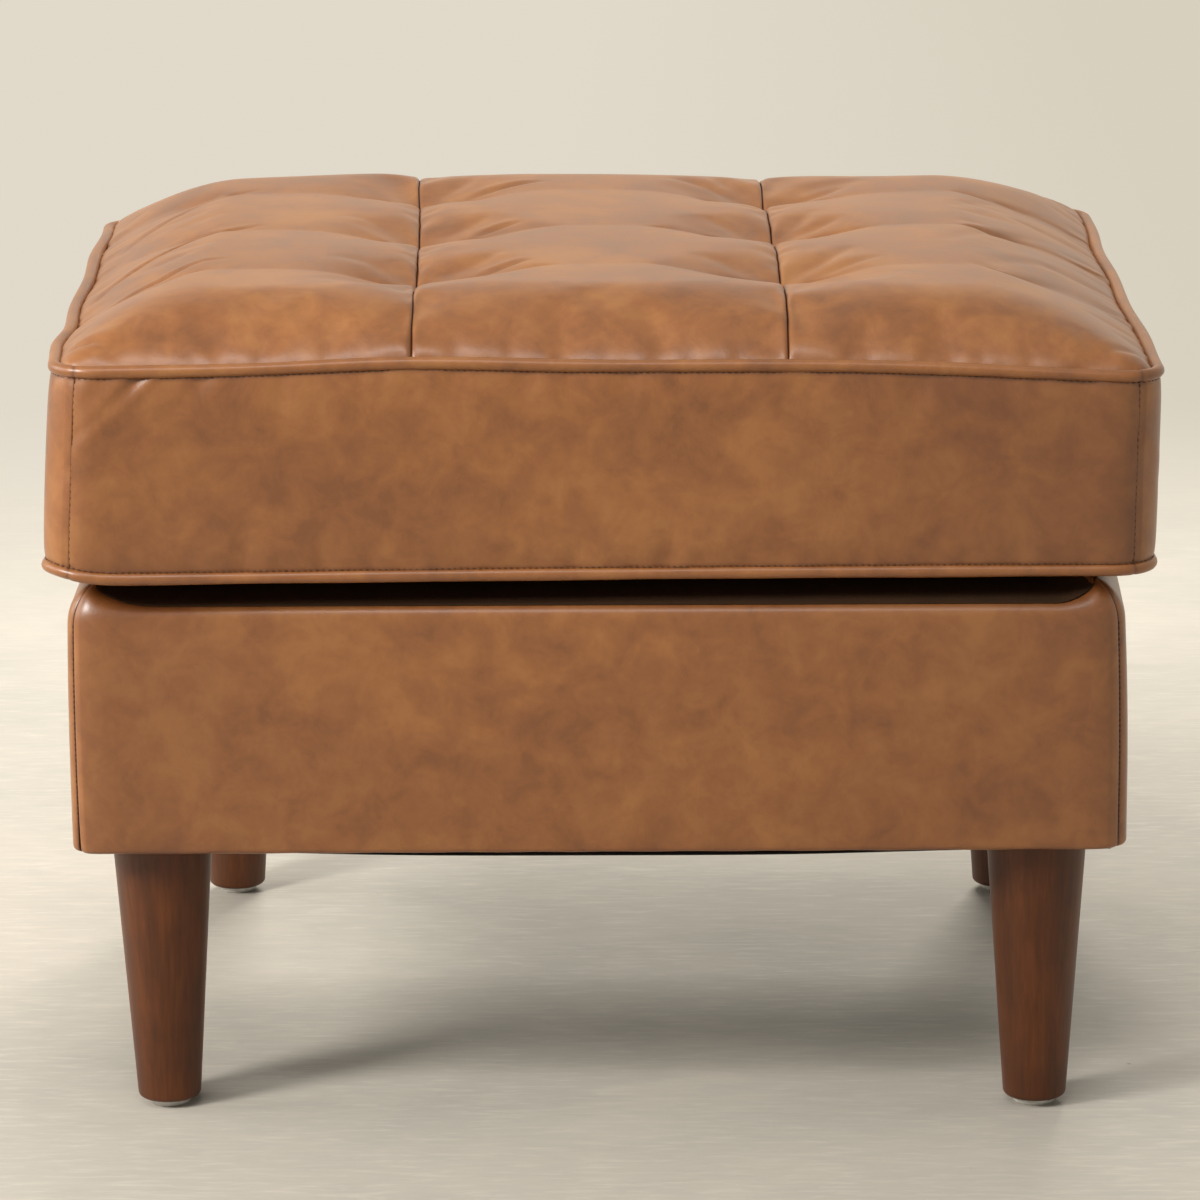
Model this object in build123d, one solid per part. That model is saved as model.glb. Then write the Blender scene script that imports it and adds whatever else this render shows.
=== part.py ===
from build123d import *
import os
from math import asin, cos, pi, sin, sqrt

os.makedirs("parts", exist_ok=True)

# Box base, in millimetres
base_width = 578
base_depth = 505
base_height = 153
base_corner_radius = 17
base_top_radius = 16
cover_thickness = 1.8
cover_turn_under = 24
deck_border = 70
deck_cloth_thickness = 1.2
top_pad_thickness = 16
side_pad_thickness = 6
dust_cover_thickness = 0.8
dust_cover_inset = 6

# Wooden frame
rail_thickness = 22
corner_block_side = 84
corner_block_chamfer = 38
corner_block_height = 42

# Webbing and hessian over the frame
webbing_width = 50
webbing_thickness = 1.6
webbing_ramp = 14
webbing_end_inset = 3
hessian_thickness = 0.8
hessian_inset = 10
crosswise_straps = 4
lengthwise_straps = 3

# Legs with their glides, bolts and nuts
leg_height = 153
leg_top_radius = 28
leg_foot_radius = 17.5
leg_foot_rounding = 3
leg_top_bevel = 0.8
leg_inset_side = 45
leg_inset_front = 42
glide_radius = 12
glide_height = 4
glide_bevel = 1.2
nail_radius = 1.2
nail_length = 14
nail_seat = 2.4
bolt_radius = 4
bolt_in_leg = 38
bolt_past_nut = 3
nut_barrel_radius = 5.2
nut_barrel_length = 11
nut_flange_radius = 10.5
nut_flange_thickness = 1.6

# Screws through the long rails into the short ones
screw_radius = 2.2
screw_length = 60
screw_head_radius = 4.4
screw_head_depth = 2.6
screw_edge_distance = 32

# Loose box cushion
cushion_overhang_side = 11
cushion_overhang_front = 7.5
cushion_wall = 114.5
cushion_crown = 38
cushion_corner_radius = 15
cushion_side_draw = 3
panel_leather = 2
welt_radius = 3
welt_above_base = 5.5
fibre_thickness = 12
core_corner_radius = 6
top_panels = 3
tuft_bays = 4
shoulder_width = 66
crown_at_edge = 0.6
seam_dip = 5
tuft_dip = 15
cross_valley = 4
shoulder_steps = 5
bay_steps = 6
tuft_sharpness = 2

# Tuft pulls through the cushion
tie_radius = 1
toggle_radius = 11
toggle_height = 3

# Zip along the back of the cushion
zip_slot = 12
zip_end_distance = 62
zip_fold_depth = 7.5
zip_fold_height = 7
tape_thickness = 0.8
tape_height = 34
chain_height = 6
chain_thickness = 2
slider_length = 12
slider_wall = 1.2
slider_end_distance = 8
pin_radius = 0.6
pull_eye_radius = 1.7
pull_width = 5
pull_length = 24
pull_thickness = 1.2
pull_hole_radius = 1.3

# Clearances
layer_gap = 0.2
cushion_rest_gap = 0.3
bolt_gap = 0.1
slider_gap = 0.3
pin_gap = 0.3
cut_overrun = 2

# Shares of the length that they follow
panel_sag_share = 0.25
mitre_reach_share = 0.9

# Levels, from the floor up
base_bottom = glide_height + leg_height
cover_bottom = base_bottom + dust_cover_thickness
rail_bottom = cover_bottom + cover_thickness
base_top = base_bottom + base_height
pad_top = base_top - cover_thickness
pad_bottom = pad_top - top_pad_thickness
hessian_bottom = pad_bottom - hessian_thickness
rail_top = hessian_bottom - 2 * webbing_thickness
cushion_bottom = base_top + cushion_rest_gap
bottom_welt_level = base_top + welt_above_base
top_welt_level = bottom_welt_level + cushion_wall
middle_level = (bottom_welt_level + top_welt_level) / 2

# Half sizes and places in plan
half_width = base_width / 2
half_depth = base_depth / 2
rail_inset = cover_thickness + side_pad_thickness
rail_half_width = half_width - rail_inset
rail_half_depth = half_depth - rail_inset
inner_half_width = rail_half_width - rail_thickness
inner_half_depth = rail_half_depth - rail_thickness
leg_x = half_width - leg_inset_side
leg_y = half_depth - leg_inset_front
cushion_half_width = half_width + cushion_overhang_side - welt_radius
cushion_half_depth = half_depth + cushion_overhang_front - welt_radius
seam_x = 2 * (cushion_half_width + welt_radius) / top_panels / 2
tuft_pitch = 2 * (cushion_half_depth + welt_radius) / tuft_bays

corners = {
    "front_left": (-1, -1),
    "front_right": (1, -1),
    "back_left": (-1, 1),
    "back_right": (1, 1),
}


def block(low, high):
    """A box between its lowest and highest corners."""
    size = [b - a for a, b in zip(low, high)]
    middle = [(a + b) / 2 for a, b in zip(low, high)]
    return Pos(*middle) * Box(*size)


def drum(radius, bottom, top):
    """An upright cylinder between two levels."""
    return Pos(0, 0, (bottom + top) / 2) * Cylinder(radius, top - bottom)


def turned(points):
    """A solid turned about the upright axis, from (radius, level) points."""
    outline = make_face(Polyline(*[(r, 0, z) for r, z in points], close=True))
    return revolve(outline, Axis.Z)


def at_corners(solid):
    """Copies of a solid drawn on the upright axis, one at each leg."""
    copies = []
    for x_side, y_side in corners.values():
        copies.append(Pos(x_side * leg_x, y_side * leg_y, 0) * solid)
    return copies


def mitred_side(half_x, half_y, side, bottom, top):
    """The part of a box's plan that belongs to one side, cut at 45 degrees at its corners."""
    reach = mitre_reach_share * min(half_x, half_y)
    long_end, wide_end = half_x + cut_overrun, half_y + cut_overrun
    front = ((-long_end, -wide_end), (long_end, -wide_end),
             (half_x - reach, reach - half_y), (reach - half_x, reach - half_y))
    right = ((long_end, -wide_end), (long_end, wide_end),
             (half_x - reach, half_y - reach), (half_x - reach, reach - half_y))
    corner_points = front if side in ("front", "back") else right
    turn = -1 if side in ("back", "left") else 1
    plan = make_face(Polyline(*[(turn * x, turn * y) for x, y in corner_points], close=True))
    return extrude(Pos(0, 0, bottom) * plan, top - bottom)


def base_form(inset, bottom, top):
    """The base's rounded box, drawn in by an inset, with its top edge rolled over."""
    plan = RectangleRounded(base_width - 2 * inset, base_depth - 2 * inset,
                            base_corner_radius - inset)
    solid = extrude(Pos(0, 0, bottom) * plan, top - bottom)
    return fillet(solid.edges().group_by(Axis.Z)[-1], base_top_radius - inset)


# Frame of four rails, butted at the corners
def frame_screw():
    """A countersunk screw along +Y, with its head's face at the origin."""
    body = turned(((0, 0), (screw_head_radius, 0), (screw_radius, screw_head_depth),
                   (screw_radius, screw_length), (0, screw_length)))
    return Rot(-90, 0, 0) * body


def screw_places():
    """Where each screw goes in, and whether it points forwards or back."""
    middle_x = rail_half_width - rail_thickness / 2
    levels = (rail_bottom + screw_edge_distance, rail_top - screw_edge_distance)
    return [(x_side * middle_x, y_side * rail_half_depth, level, y_side)
            for x_side in (-1, 1) for y_side in (-1, 1) for level in levels]


def frame_screws():
    screws = []
    for x, y, level, y_side in screw_places():
        turn = 180 if y_side > 0 else 0
        screws.append(Pos(x, y, level) * Rot(0, 0, turn) * frame_screw())
    return screws


def rails():
    screws = frame_screws()
    long_rail = block((-rail_half_width, -rail_half_depth, rail_bottom),
                      (rail_half_width, -inner_half_depth, rail_top))
    short_rail = block((inner_half_width, -inner_half_depth, rail_bottom),
                       (rail_half_width, inner_half_depth, rail_top))
    found = {
        "front_rail": long_rail,
        "back_rail": mirror(long_rail, Plane.XZ),
        "right_rail": short_rail,
        "left_rail": mirror(short_rail, Plane.YZ),
    }
    return {name: rail - screws for name, rail in found.items()}


# Corner blocks take the leg bolts
def corner_blocks():
    outline = Polyline((inner_half_width, inner_half_depth),
                       (inner_half_width - corner_block_side, inner_half_depth),
                       (inner_half_width - corner_block_side,
                        inner_half_depth - corner_block_side + corner_block_chamfer),
                       (inner_half_width - corner_block_side + corner_block_chamfer,
                        inner_half_depth - corner_block_side),
                       (inner_half_width, inner_half_depth - corner_block_side), close=True)
    solid = extrude(Pos(0, 0, rail_bottom) * make_face(outline), corner_block_height)
    top = rail_bottom + corner_block_height
    bore = drum(bolt_radius + bolt_gap, rail_bottom - cut_overrun, top)
    socket = drum(nut_barrel_radius + bolt_gap, top - nut_barrel_length - layer_gap,
                  top + cut_overrun)
    solid = solid - Pos(leg_x, leg_y, 0) * bore - Pos(leg_x, leg_y, 0) * socket
    blocks = {}
    for name, (x_side, y_side) in corners.items():
        copy = solid if x_side > 0 else mirror(solid, Plane.YZ)
        copy = copy if y_side > 0 else mirror(copy, Plane.XZ)
        blocks[name + "_corner_block"] = copy
    return blocks


def leg_t_nuts():
    top = rail_bottom + corner_block_height
    bore = bolt_radius + bolt_gap
    return at_corners(turned((
        (bore, top - nut_barrel_length), (nut_barrel_radius, top - nut_barrel_length),
        (nut_barrel_radius, top), (nut_flange_radius, top),
        (nut_flange_radius, top + nut_flange_thickness), (bore, top + nut_flange_thickness))))


def leg_bolts():
    top = rail_bottom + corner_block_height + nut_flange_thickness + bolt_past_nut
    tip = base_bottom - bolt_in_leg
    return at_corners(turned((
        (0, tip), (bolt_radius, tip + bolt_radius), (bolt_radius, top), (0, top))))


# Turned and tapered legs on nailed glides
def legs():
    outline = turned(((0, glide_height), (leg_foot_radius, glide_height),
                      (leg_top_radius, base_bottom), (0, base_bottom)))
    rims = outline.edges().filter_by(GeomType.CIRCLE).sort_by(Axis.Z)
    leg = fillet(rims[0], leg_foot_rounding)
    top_rim = leg.edges().filter_by(GeomType.CIRCLE).sort_by(Axis.Z)[-1]
    leg = chamfer(top_rim, leg_top_bevel)
    leg -= drum(bolt_radius + bolt_gap, base_bottom - bolt_in_leg - layer_gap,
                base_bottom + cut_overrun)
    leg -= drum(nail_radius + bolt_gap, glide_height - cut_overrun,
                nail_seat + nail_length + layer_gap)
    return {name + "_leg": copy for name, copy in zip(corners, at_corners(leg))}


def glides():
    disc = drum(glide_radius, 0, glide_height)
    disc = chamfer(disc.edges().filter_by(GeomType.CIRCLE).sort_by(Axis.Z)[0], glide_bevel)
    disc -= drum(nail_radius, nail_seat, glide_height + cut_overrun)
    return {name + "_glide": copy for name, copy in zip(corners, at_corners(disc))}


def glide_nails():
    return at_corners(drum(nail_radius, nail_seat, nail_seat + nail_length))


# Woven webbing: each strap goes over one crossing and under the next
def strap(half_length, crossings, first_over):
    """A strap along X whose level rises by its own thickness where it passes over."""
    half_span = webbing_width / 2 + layer_gap
    path = [(-half_length, 0)]
    for number, middle in enumerate(crossings):
        level = webbing_thickness if (number + first_over) % 2 else 0
        before, after = middle - half_span, middle + half_span
        if level:
            path += [(before - webbing_ramp, 0), (before, level)]
            path += [(after, level), (after + webbing_ramp, 0)]
    path.append((half_length, 0))
    lower = [(x, 0, rail_top + z) for x, z in path]
    upper = [(x, 0, rail_top + z + webbing_thickness) for x, z in reversed(path)]
    side = make_face(Polyline(*lower, *upper, close=True))
    return extrude(side, webbing_width / 2, both=True)


def spread(count, half_length):
    """Evenly spaced places across a span, each in the middle of its own share."""
    pitch = 2 * half_length / count
    return [(number + 1 / 2) * pitch - half_length for number in range(count)]


def webbing():
    places_x = spread(crosswise_straps, inner_half_width)
    places_y = spread(lengthwise_straps, inner_half_depth)
    straps = {}
    for number, y in enumerate(places_y):
        length = rail_half_width - webbing_end_inset
        straps[f"lengthwise_webbing_{number + 1}"] = Pos(0, y, 0) * strap(length, places_x, number)
    for number, x in enumerate(places_x):
        length = rail_half_depth - webbing_end_inset
        flat = Rot(0, 0, 90) * strap(length, places_y, number + 1)
        straps[f"crosswise_webbing_{number + 1}"] = Pos(x, 0, 0) * flat
    return straps


def sheet(inset, bottom, thickness):
    """A flat sheet with the base's plan, drawn in by an inset."""
    return block((inset - half_width, inset - half_depth, bottom),
                 (half_width - inset, half_depth - inset, bottom + thickness))


def hessian_sheet():
    return sheet(rail_inset + hessian_inset, hessian_bottom, hessian_thickness)


# Padding and leather round the frame
def base_top_pad():
    return base_form(cover_thickness, pad_bottom, pad_top)


def base_layer(solid, suffix):
    """A layer round the base cut into its four sides."""
    layers = {}
    for side in ("front", "back", "left", "right"):
        wedge = mitred_side(half_width, half_depth, side, base_bottom - cut_overrun,
                            base_top + cut_overrun)
        layers[side + suffix] = solid & wedge
    return layers


def side_pads():
    plan = RectangleRounded(base_width - 2 * cover_thickness, base_depth - 2 * cover_thickness,
                            base_corner_radius - cover_thickness)
    ring = extrude(Pos(0, 0, rail_bottom) * plan, pad_bottom - rail_bottom)
    ring -= block((-rail_half_width, -rail_half_depth, rail_bottom - cut_overrun),
                  (rail_half_width, rail_half_depth, pad_bottom + cut_overrun))
    return base_layer(ring, "_side_pad")


def base_covers():
    shell = base_form(0, cover_bottom, base_top) - base_form(cover_thickness, rail_bottom, pad_top)
    shell -= sheet(cover_turn_under, cover_bottom - cut_overrun, 2 * cut_overrun)
    shell -= sheet(deck_border, pad_top - cut_overrun, 2 * cut_overrun)
    return base_layer(shell, "_base_cover")


def deck_cloth():
    return sheet(deck_border, pad_top, deck_cloth_thickness)


def dust_cover():
    holes = at_corners(drum(bolt_radius + bolt_gap, base_bottom - cut_overrun,
                            cover_bottom + cut_overrun))
    return sheet(dust_cover_inset, base_bottom, dust_cover_thickness) - holes


# The cushion's plan: front and sides drawn in between the corners, back held straight by its zip
def cushion_plan(inset, level):
    x, y = cushion_half_width - inset, cushion_half_depth - inset
    front = ThreePointArc((-x, -y), (0, cushion_side_draw - y), (x, -y))
    right = ThreePointArc((x, -y), (x - cushion_side_draw, 0), (x, y))
    back = Line((x, y), (-x, y))
    left = ThreePointArc((-x, y), (cushion_side_draw - x, 0), (-x, -y))
    plan = make_face([front, right, back, left])
    radius = max(cushion_corner_radius - inset, core_corner_radius)
    return Pos(0, 0, level) * fillet(plan.vertices(), radius)


def cushion_prism(inset, bottom, top):
    return extrude(cushion_plan(inset, bottom), top - bottom)


# Crown of the cushion: plump shoulders, valleys between the tufts and a dip at each tuft
def shoulder_height(distance, rise):
    """Height of the plump rounding at a distance in from the welt, on a circle's arc."""
    radius = (shoulder_width ** 2 + rise ** 2) / (2 * rise)
    return sqrt(radius ** 2 - (shoulder_width - distance) ** 2) - (radius - rise)


def crown_stations():
    """Places from front to back with the crown's rise and the seams' dip at each."""
    edge = cushion_half_depth
    radius = (shoulder_width ** 2 + cushion_crown ** 2) / (2 * cushion_crown)
    steepest = asin(shoulder_width / radius)
    places = []
    for step in range(shoulder_steps):
        angle = steepest * (1 - step / shoulder_steps)
        places.append(edge - shoulder_width + radius * sin(angle))
    flat = edge - shoulder_width
    steps = round(flat * bay_steps / tuft_pitch)
    places += [flat * (1 - step / steps) for step in range(steps)]
    stations = []
    for y in [-place for place in places] + [0] + places[::-1]:
        rise = cushion_crown
        if abs(y) > flat:
            rise = max(shoulder_height(edge - abs(y), cushion_crown), crown_at_edge)
        wave = (1 + cos(2 * pi * y / tuft_pitch)) / 2
        share = rise / cushion_crown
        dip = seam_dip + (tuft_dip - cross_valley - seam_dip) * wave ** tuft_sharpness
        stations.append((y, rise - cross_valley * wave * share ** 2, dip * share))
    return stations


def side_line(turn, y, level, rise, dip):
    """The crown's line from the side welt over the shoulder to the seam, as two arcs."""
    edge, seam = cushion_half_width, seam_x + layer_gap / 2
    top_of_shoulder = edge - shoulder_width
    halfway = (top_of_shoulder + seam) / 2
    middle_rise = shoulder_height(shoulder_width / 2, rise)
    shoulder = ThreePointArc((turn * edge, y, level),
                             (turn * (edge - shoulder_width / 2), y, level + middle_rise),
                             (turn * top_of_shoulder, y, level + rise))
    panel = ThreePointArc((turn * top_of_shoulder, y, level + rise),
                          (turn * halfway, y, level + rise - panel_sag_share * dip),
                          (turn * seam, y, level + rise - dip))
    return [shoulder, panel]


def middle_line(y, level, rise, dip, seam):
    """The crown's line between the two seams, as one arc."""
    return [ThreePointArc((-seam, y, level + rise - dip), (0, y, level + rise),
                          (seam, y, level + rise - dip))]


def crown_line(part, y, level, rise, dip):
    """One panel's line, or the line of the whole crown, at one station."""
    if part == "middle":
        return middle_line(y, level, rise, dip, seam_x - layer_gap / 2)
    left, right = side_line(-1, y, level, rise, dip), side_line(1, y, level, rise, dip)
    if part == "left":
        return left
    if part == "right":
        return right[::-1]
    return left + middle_line(y, level, rise, dip, seam_x + layer_gap / 2) + right[::-1]


def crown_layer(part, drop, thickness):
    """A layer that follows the crown, a drop below its outer face."""
    sections = []
    for y, rise, dip in crown_stations():
        upper = crown_line(part, y, top_welt_level - drop, rise, dip)
        lower = crown_line(part, y, top_welt_level - drop - thickness, rise, dip)
        ends = []
        for line in (upper, lower):
            found = sorted((tuple(v) for edge in line for v in edge.vertices()))
            ends.append((found[0], found[-1]))
        sides = [Line(ends[0][0], ends[1][0]), Line(ends[0][1], ends[1][1])]
        sections.append(make_face(upper + lower + sides))
    return loft(sections, ruled=True)


def tufts():
    return [(x_side * seam_x, row * tuft_pitch) for x_side in (-1, 1) for row in (-1, 0, 1)]


# Leather panels of the cushion, sewn to the welts
def leather_panels():
    seam_gap = welt_radius + layer_gap
    top = top_welt_level + cushion_crown + cut_overrun
    levels = (bottom_welt_level + seam_gap, top_welt_level - seam_gap)
    panels = {}
    for part in ("left", "middle", "right"):
        layer = crown_layer(part, 0, panel_leather)
        panels[f"top_{part}_panel"] = layer & cushion_prism(seam_gap, bottom_welt_level, top)
    wall = cushion_prism(0, *levels) - cushion_prism(panel_leather, *levels)
    for side in ("front", "left", "right", "back"):
        wedge = mitred_side(cushion_half_width, cushion_half_depth, side, *levels)
        panels[side + "_border"] = wall & wedge
    panels["bottom_panel"] = cushion_prism(welt_radius, cushion_bottom,
                                           cushion_bottom + panel_leather)
    return panels


def welt(level):
    path = cushion_plan(0, level).face().outer_wire()
    return sweep(Plane(path @ 0, z_dir=path % 0) * Circle(welt_radius), path=path)


# Zip in the back border
zip_face = cushion_half_depth - zip_fold_depth
zip_half_length = cushion_half_width - zip_end_distance
chain_face = zip_face + chain_thickness


def zip_band(half_length, depth, thickness, height):
    """A bar along the zip whose outer face stands at a depth along Y."""
    return block((-half_length, depth - thickness, middle_level - height / 2),
                 (half_length, depth, middle_level + height / 2))


def back_borders(border):
    """The back border in two strips, each folded in along the zip's slot."""
    outer = cushion_half_depth - panel_leather / 2
    fold = zip_band(zip_half_length, outer, outer - zip_face, zip_slot + 2 * zip_fold_height)
    strips = (border + fold) - zip_band(2 * cushion_half_width, outer + cut_overrun,
                                        2 * zip_fold_depth, zip_slot)
    lower, upper = strips.solids().sort_by(Axis.Z)
    return {"back_border_lower": lower, "back_border_upper": upper}


def zip_tape():
    return zip_band(zip_half_length, zip_face, tape_thickness, tape_height)


def zip_chain():
    return zip_band(zip_half_length, chain_face, chain_thickness, chain_height)


slider_x = zip_half_length - slider_end_distance - slider_length / 2
slider_face = chain_face + slider_gap + slider_wall
pin_depth = slider_face + pull_eye_radius + pin_gap


def zip_slider():
    """A channel over the chain, with two ears that carry the pull's pin."""
    half_channel = chain_height / 2 + slider_gap
    half_height = half_channel + slider_wall
    foot = zip_face + slider_gap
    body = block((-slider_length / 2, foot, -half_height),
                 (slider_length / 2, slider_face, half_height))
    body -= block((-slider_length, foot - cut_overrun, -half_channel),
                  (slider_length, chain_face + slider_gap, half_channel))
    ear_low = pull_width / 2 + pin_gap
    ear = block((-pull_eye_radius, chain_face + slider_gap, ear_low),
                (pull_eye_radius, pin_depth, half_height))
    ear += Pos(0, pin_depth, (ear_low + half_height) / 2) * Cylinder(pull_eye_radius,
                                                                    half_height - ear_low)
    pin = Pos(0, pin_depth, 0) * Cylinder(pin_radius, 2 * half_height)
    return Pos(slider_x, 0, middle_level) * (body + ear + mirror(ear, Plane.XY) + pin)


def zip_pull():
    """A flat tab that lies along the chain and turns about the slider's pin."""
    half = pull_width / 2
    tab = SlotCenterToCenter(pull_length - half, pull_width)
    tab = Rot(90, 0, 0) * extrude(tab, pull_thickness / 2, both=True)
    tab = Pos(-(pull_length - half) / 2, 0, 0) * tab
    hole = Pos(half - pull_length, 0, 0) * Rot(90, 0, 0) * Cylinder(pull_hole_radius,
                                                                   2 * pull_eye_radius)
    eye = Cylinder(pull_eye_radius, pull_width)
    tab = tab & block((-pull_length - half, -half, -half), (0, half, half))
    solid = tab - hole + eye - Cylinder(pin_radius + pin_gap, 2 * pull_width)
    return Pos(slider_x, pin_depth, middle_level) * solid


# Foam core with its fibre wrap, and the pulls that hold the tufts down
wrap_inset = welt_radius + layer_gap
core_inset = wrap_inset + fibre_thickness
wrap_bottom = cushion_bottom + panel_leather + layer_gap
core_bottom = wrap_bottom + fibre_thickness
wrap_drop = panel_leather + layer_gap
core_drop = wrap_drop + fibre_thickness + layer_gap
tie_top = top_welt_level + cushion_crown - tuft_dip - wrap_drop


def cushion_filling():
    top = top_welt_level + cushion_crown
    core_height = top_welt_level + cushion_crown - core_bottom
    core = crown_layer("whole", core_drop, core_height)
    core &= cushion_prism(core_inset, core_bottom, top)
    upper = crown_layer("whole", wrap_drop, fibre_thickness)
    upper &= cushion_prism(wrap_inset, core_bottom, top)
    rim = top_welt_level - core_drop - layer_gap
    lower = cushion_prism(wrap_inset, wrap_bottom, rim)
    lower -= cushion_prism(core_inset - layer_gap, core_bottom - layer_gap, rim)
    lower -= zip_band(zip_half_length + layer_gap, cushion_half_depth,
                      cushion_half_depth - zip_face + tape_thickness + layer_gap,
                      tape_height + 2 * layer_gap)
    hole = drum(tie_radius + layer_gap, core_bottom, top)
    seat = drum(toggle_radius + layer_gap, core_bottom - cut_overrun,
                core_bottom + toggle_height + layer_gap)
    for x, y in tufts():
        core = core - Pos(x, y, 0) * hole - Pos(x, y, 0) * seat
        upper -= Pos(x, y, 0) * hole
    return {"foam_core": core, "upper_fibre_wrap": upper, "lower_fibre_wrap": lower}


def tuft_toggles():
    toggle = drum(toggle_radius, core_bottom, core_bottom + toggle_height)
    return [Pos(x, y, 0) * toggle for x, y in tufts()]


def tuft_ties():
    tie = drum(tie_radius, core_bottom + toggle_height, tie_top)
    return [Pos(x, y, 0) * tie for x, y in tufts()]


parts = {}
parts.update(rails())
parts.update(corner_blocks())
parts.update(legs())
parts.update(glides())
parts["glide_nails"] = glide_nails()
parts["leg_bolts"] = leg_bolts()
parts["leg_t_nuts"] = leg_t_nuts()
parts["frame_screws"] = frame_screws()
parts.update(webbing())
parts["hessian_sheet"] = hessian_sheet()
parts["base_top_pad"] = base_top_pad()
parts.update(side_pads())
parts.update(base_covers())
parts["deck_cloth"] = deck_cloth()
parts["dust_cover"] = dust_cover()

panels = leather_panels()
back_border = panels.pop("back_border")
parts.update(panels)
parts.update(back_borders(back_border))
parts["top_welt"] = welt(top_welt_level)
parts["bottom_welt"] = welt(bottom_welt_level)
parts["zip_tape"] = zip_tape()
parts["zip_chain"] = zip_chain()
parts["zip_slider"] = zip_slider()
parts["zip_pull"] = zip_pull()
parts.update(cushion_filling())
parts["tuft_toggles"] = tuft_toggles()
parts["tuft_ties"] = tuft_ties()

for name, shape in parts.items():
    solids = ShapeList(shape).solids() if isinstance(shape, list) else shape.solids()
    export_step(Compound(children=list(solids)), f"parts/{name}.step")
print("Pieces:", len(parts))
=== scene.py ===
import math

import bpy
import numpy as np
from mathutils import Matrix, Vector


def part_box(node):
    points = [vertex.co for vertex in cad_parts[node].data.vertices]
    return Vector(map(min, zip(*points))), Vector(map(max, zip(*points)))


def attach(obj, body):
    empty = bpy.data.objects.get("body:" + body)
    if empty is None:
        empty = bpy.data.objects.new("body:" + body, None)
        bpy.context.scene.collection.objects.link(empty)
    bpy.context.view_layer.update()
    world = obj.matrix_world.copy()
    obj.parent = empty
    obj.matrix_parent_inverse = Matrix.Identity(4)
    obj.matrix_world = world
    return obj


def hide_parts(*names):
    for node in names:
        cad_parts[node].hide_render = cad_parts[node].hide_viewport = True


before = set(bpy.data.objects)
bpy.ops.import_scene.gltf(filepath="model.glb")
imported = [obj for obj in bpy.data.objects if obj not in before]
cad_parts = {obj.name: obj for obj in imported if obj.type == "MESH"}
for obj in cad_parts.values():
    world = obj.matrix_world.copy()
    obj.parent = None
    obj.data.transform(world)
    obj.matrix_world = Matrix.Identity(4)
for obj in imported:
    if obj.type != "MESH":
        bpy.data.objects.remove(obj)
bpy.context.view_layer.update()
mm = 0.001


# Small helpers for colours, nodes and meshes
def linear(hexColour):
    parts = [int(hexColour[at:at + 2], 16) / 255 for at in (1, 3, 5)]
    return [p / 12.92 if p <= 0.04045 else ((p + 0.055) / 1.055) ** 2.4 for p in parts] + [1]


def addNode(tree, kind, inputs=None, out=0, stops=(), **settings):
    # inputs are values or other nodes' sockets; stops are the places and colours of a ramp
    node = tree.nodes.new(kind)
    for name, value in settings.items():
        setattr(node, name, value)
    for socket, value in (inputs or {}).items():
        if isinstance(value, bpy.types.NodeSocket):
            tree.links.new(value, node.inputs[socket])
        else:
            node.inputs[socket].default_value = value
    if stops:
        elements = node.color_ramp.elements
        while len(elements) < len(stops):
            elements.new(0.5)
        for element, (place, colour) in zip(elements, stops):
            element.position = place
            element.color = linear(colour) if isinstance(colour, str) else (colour,) * 3 + (1,)
    return node.outputs[out] if node.outputs else node


def weighted(tree, *parts):
    # the sum of sockets, each times its weight
    total = 0.0
    for socket, weight in parts:
        total = addNode(tree, "ShaderNodeMath", {0: socket, 1: weight, 2: total},
                        operation="MULTIPLY_ADD")
    return total


def relief(tree, *layers):
    # heights and their real depths, each laid over the one before
    inputs = {"Strength": 1.0}
    for height, depth in layers:
        inputs.update({"Height": height, "Distance": depth})
        inputs["Normal"] = addNode(tree, "ShaderNodeBump", inputs)
    return inputs["Normal"]


def objectPlace(tree, shift=(0, 0, 0), scale=(1, 1, 1), turn=(0, 0, 0)):
    place = addNode(tree, "ShaderNodeTexCoord", out="Object")
    return addNode(tree, "ShaderNodeMapping",
                   {"Vector": place, "Location": shift, "Rotation": turn, "Scale": scale})


def startMaterial(name):
    material = bpy.data.materials.new(name)
    material.use_nodes = True
    material.node_tree.nodes.clear()
    return material, material.node_tree


def dress(material, colour, shine, roughness, normal, span=(0, 1), **values):
    # shine moves the roughness between its two values; the rest are plain shader values
    tree = material.node_tree
    rough = addNode(tree, "ShaderNodeMapRange", {
        "Value": shine, "From Min": span[0], "From Max": span[1], "To Min": roughness[0],
        "To Max": roughness[1]})
    plain = {key.replace("_", " "): value for key, value in values.items()}
    shader = addNode(tree, "ShaderNodeBsdfPrincipled",
                     {"Base Color": colour, "Roughness": rough, "Normal": normal, **plain})
    addNode(tree, "ShaderNodeOutputMaterial", {"Surface": shader})
    return material


def meshPiece(name, points, faces, edges=()):
    mesh = bpy.data.meshes.new(name)
    mesh.from_pydata([tuple(p) for p in points], list(edges), faces)
    mesh.update()
    piece = bpy.data.objects.new(name, mesh)
    bpy.context.scene.collection.objects.link(piece)
    mesh.shade_smooth()
    return piece


def gridFaces(index, closed=False, flip=False):
    # quads between neighbouring rows of point numbers
    index = np.asarray(index)
    if closed:
        index = np.concatenate([index, index[:, :1]], axis=1)
    quads = np.stack([index[:-1, :-1], index[:-1, 1:], index[1:, 1:], index[1:, :-1]], axis=2)
    return quads.reshape(-1, 4)[:, ::-1 if flip else 1].tolist()


def numbered(shape):
    return np.arange(shape[0] * shape[1]).reshape(shape[:2])


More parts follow.
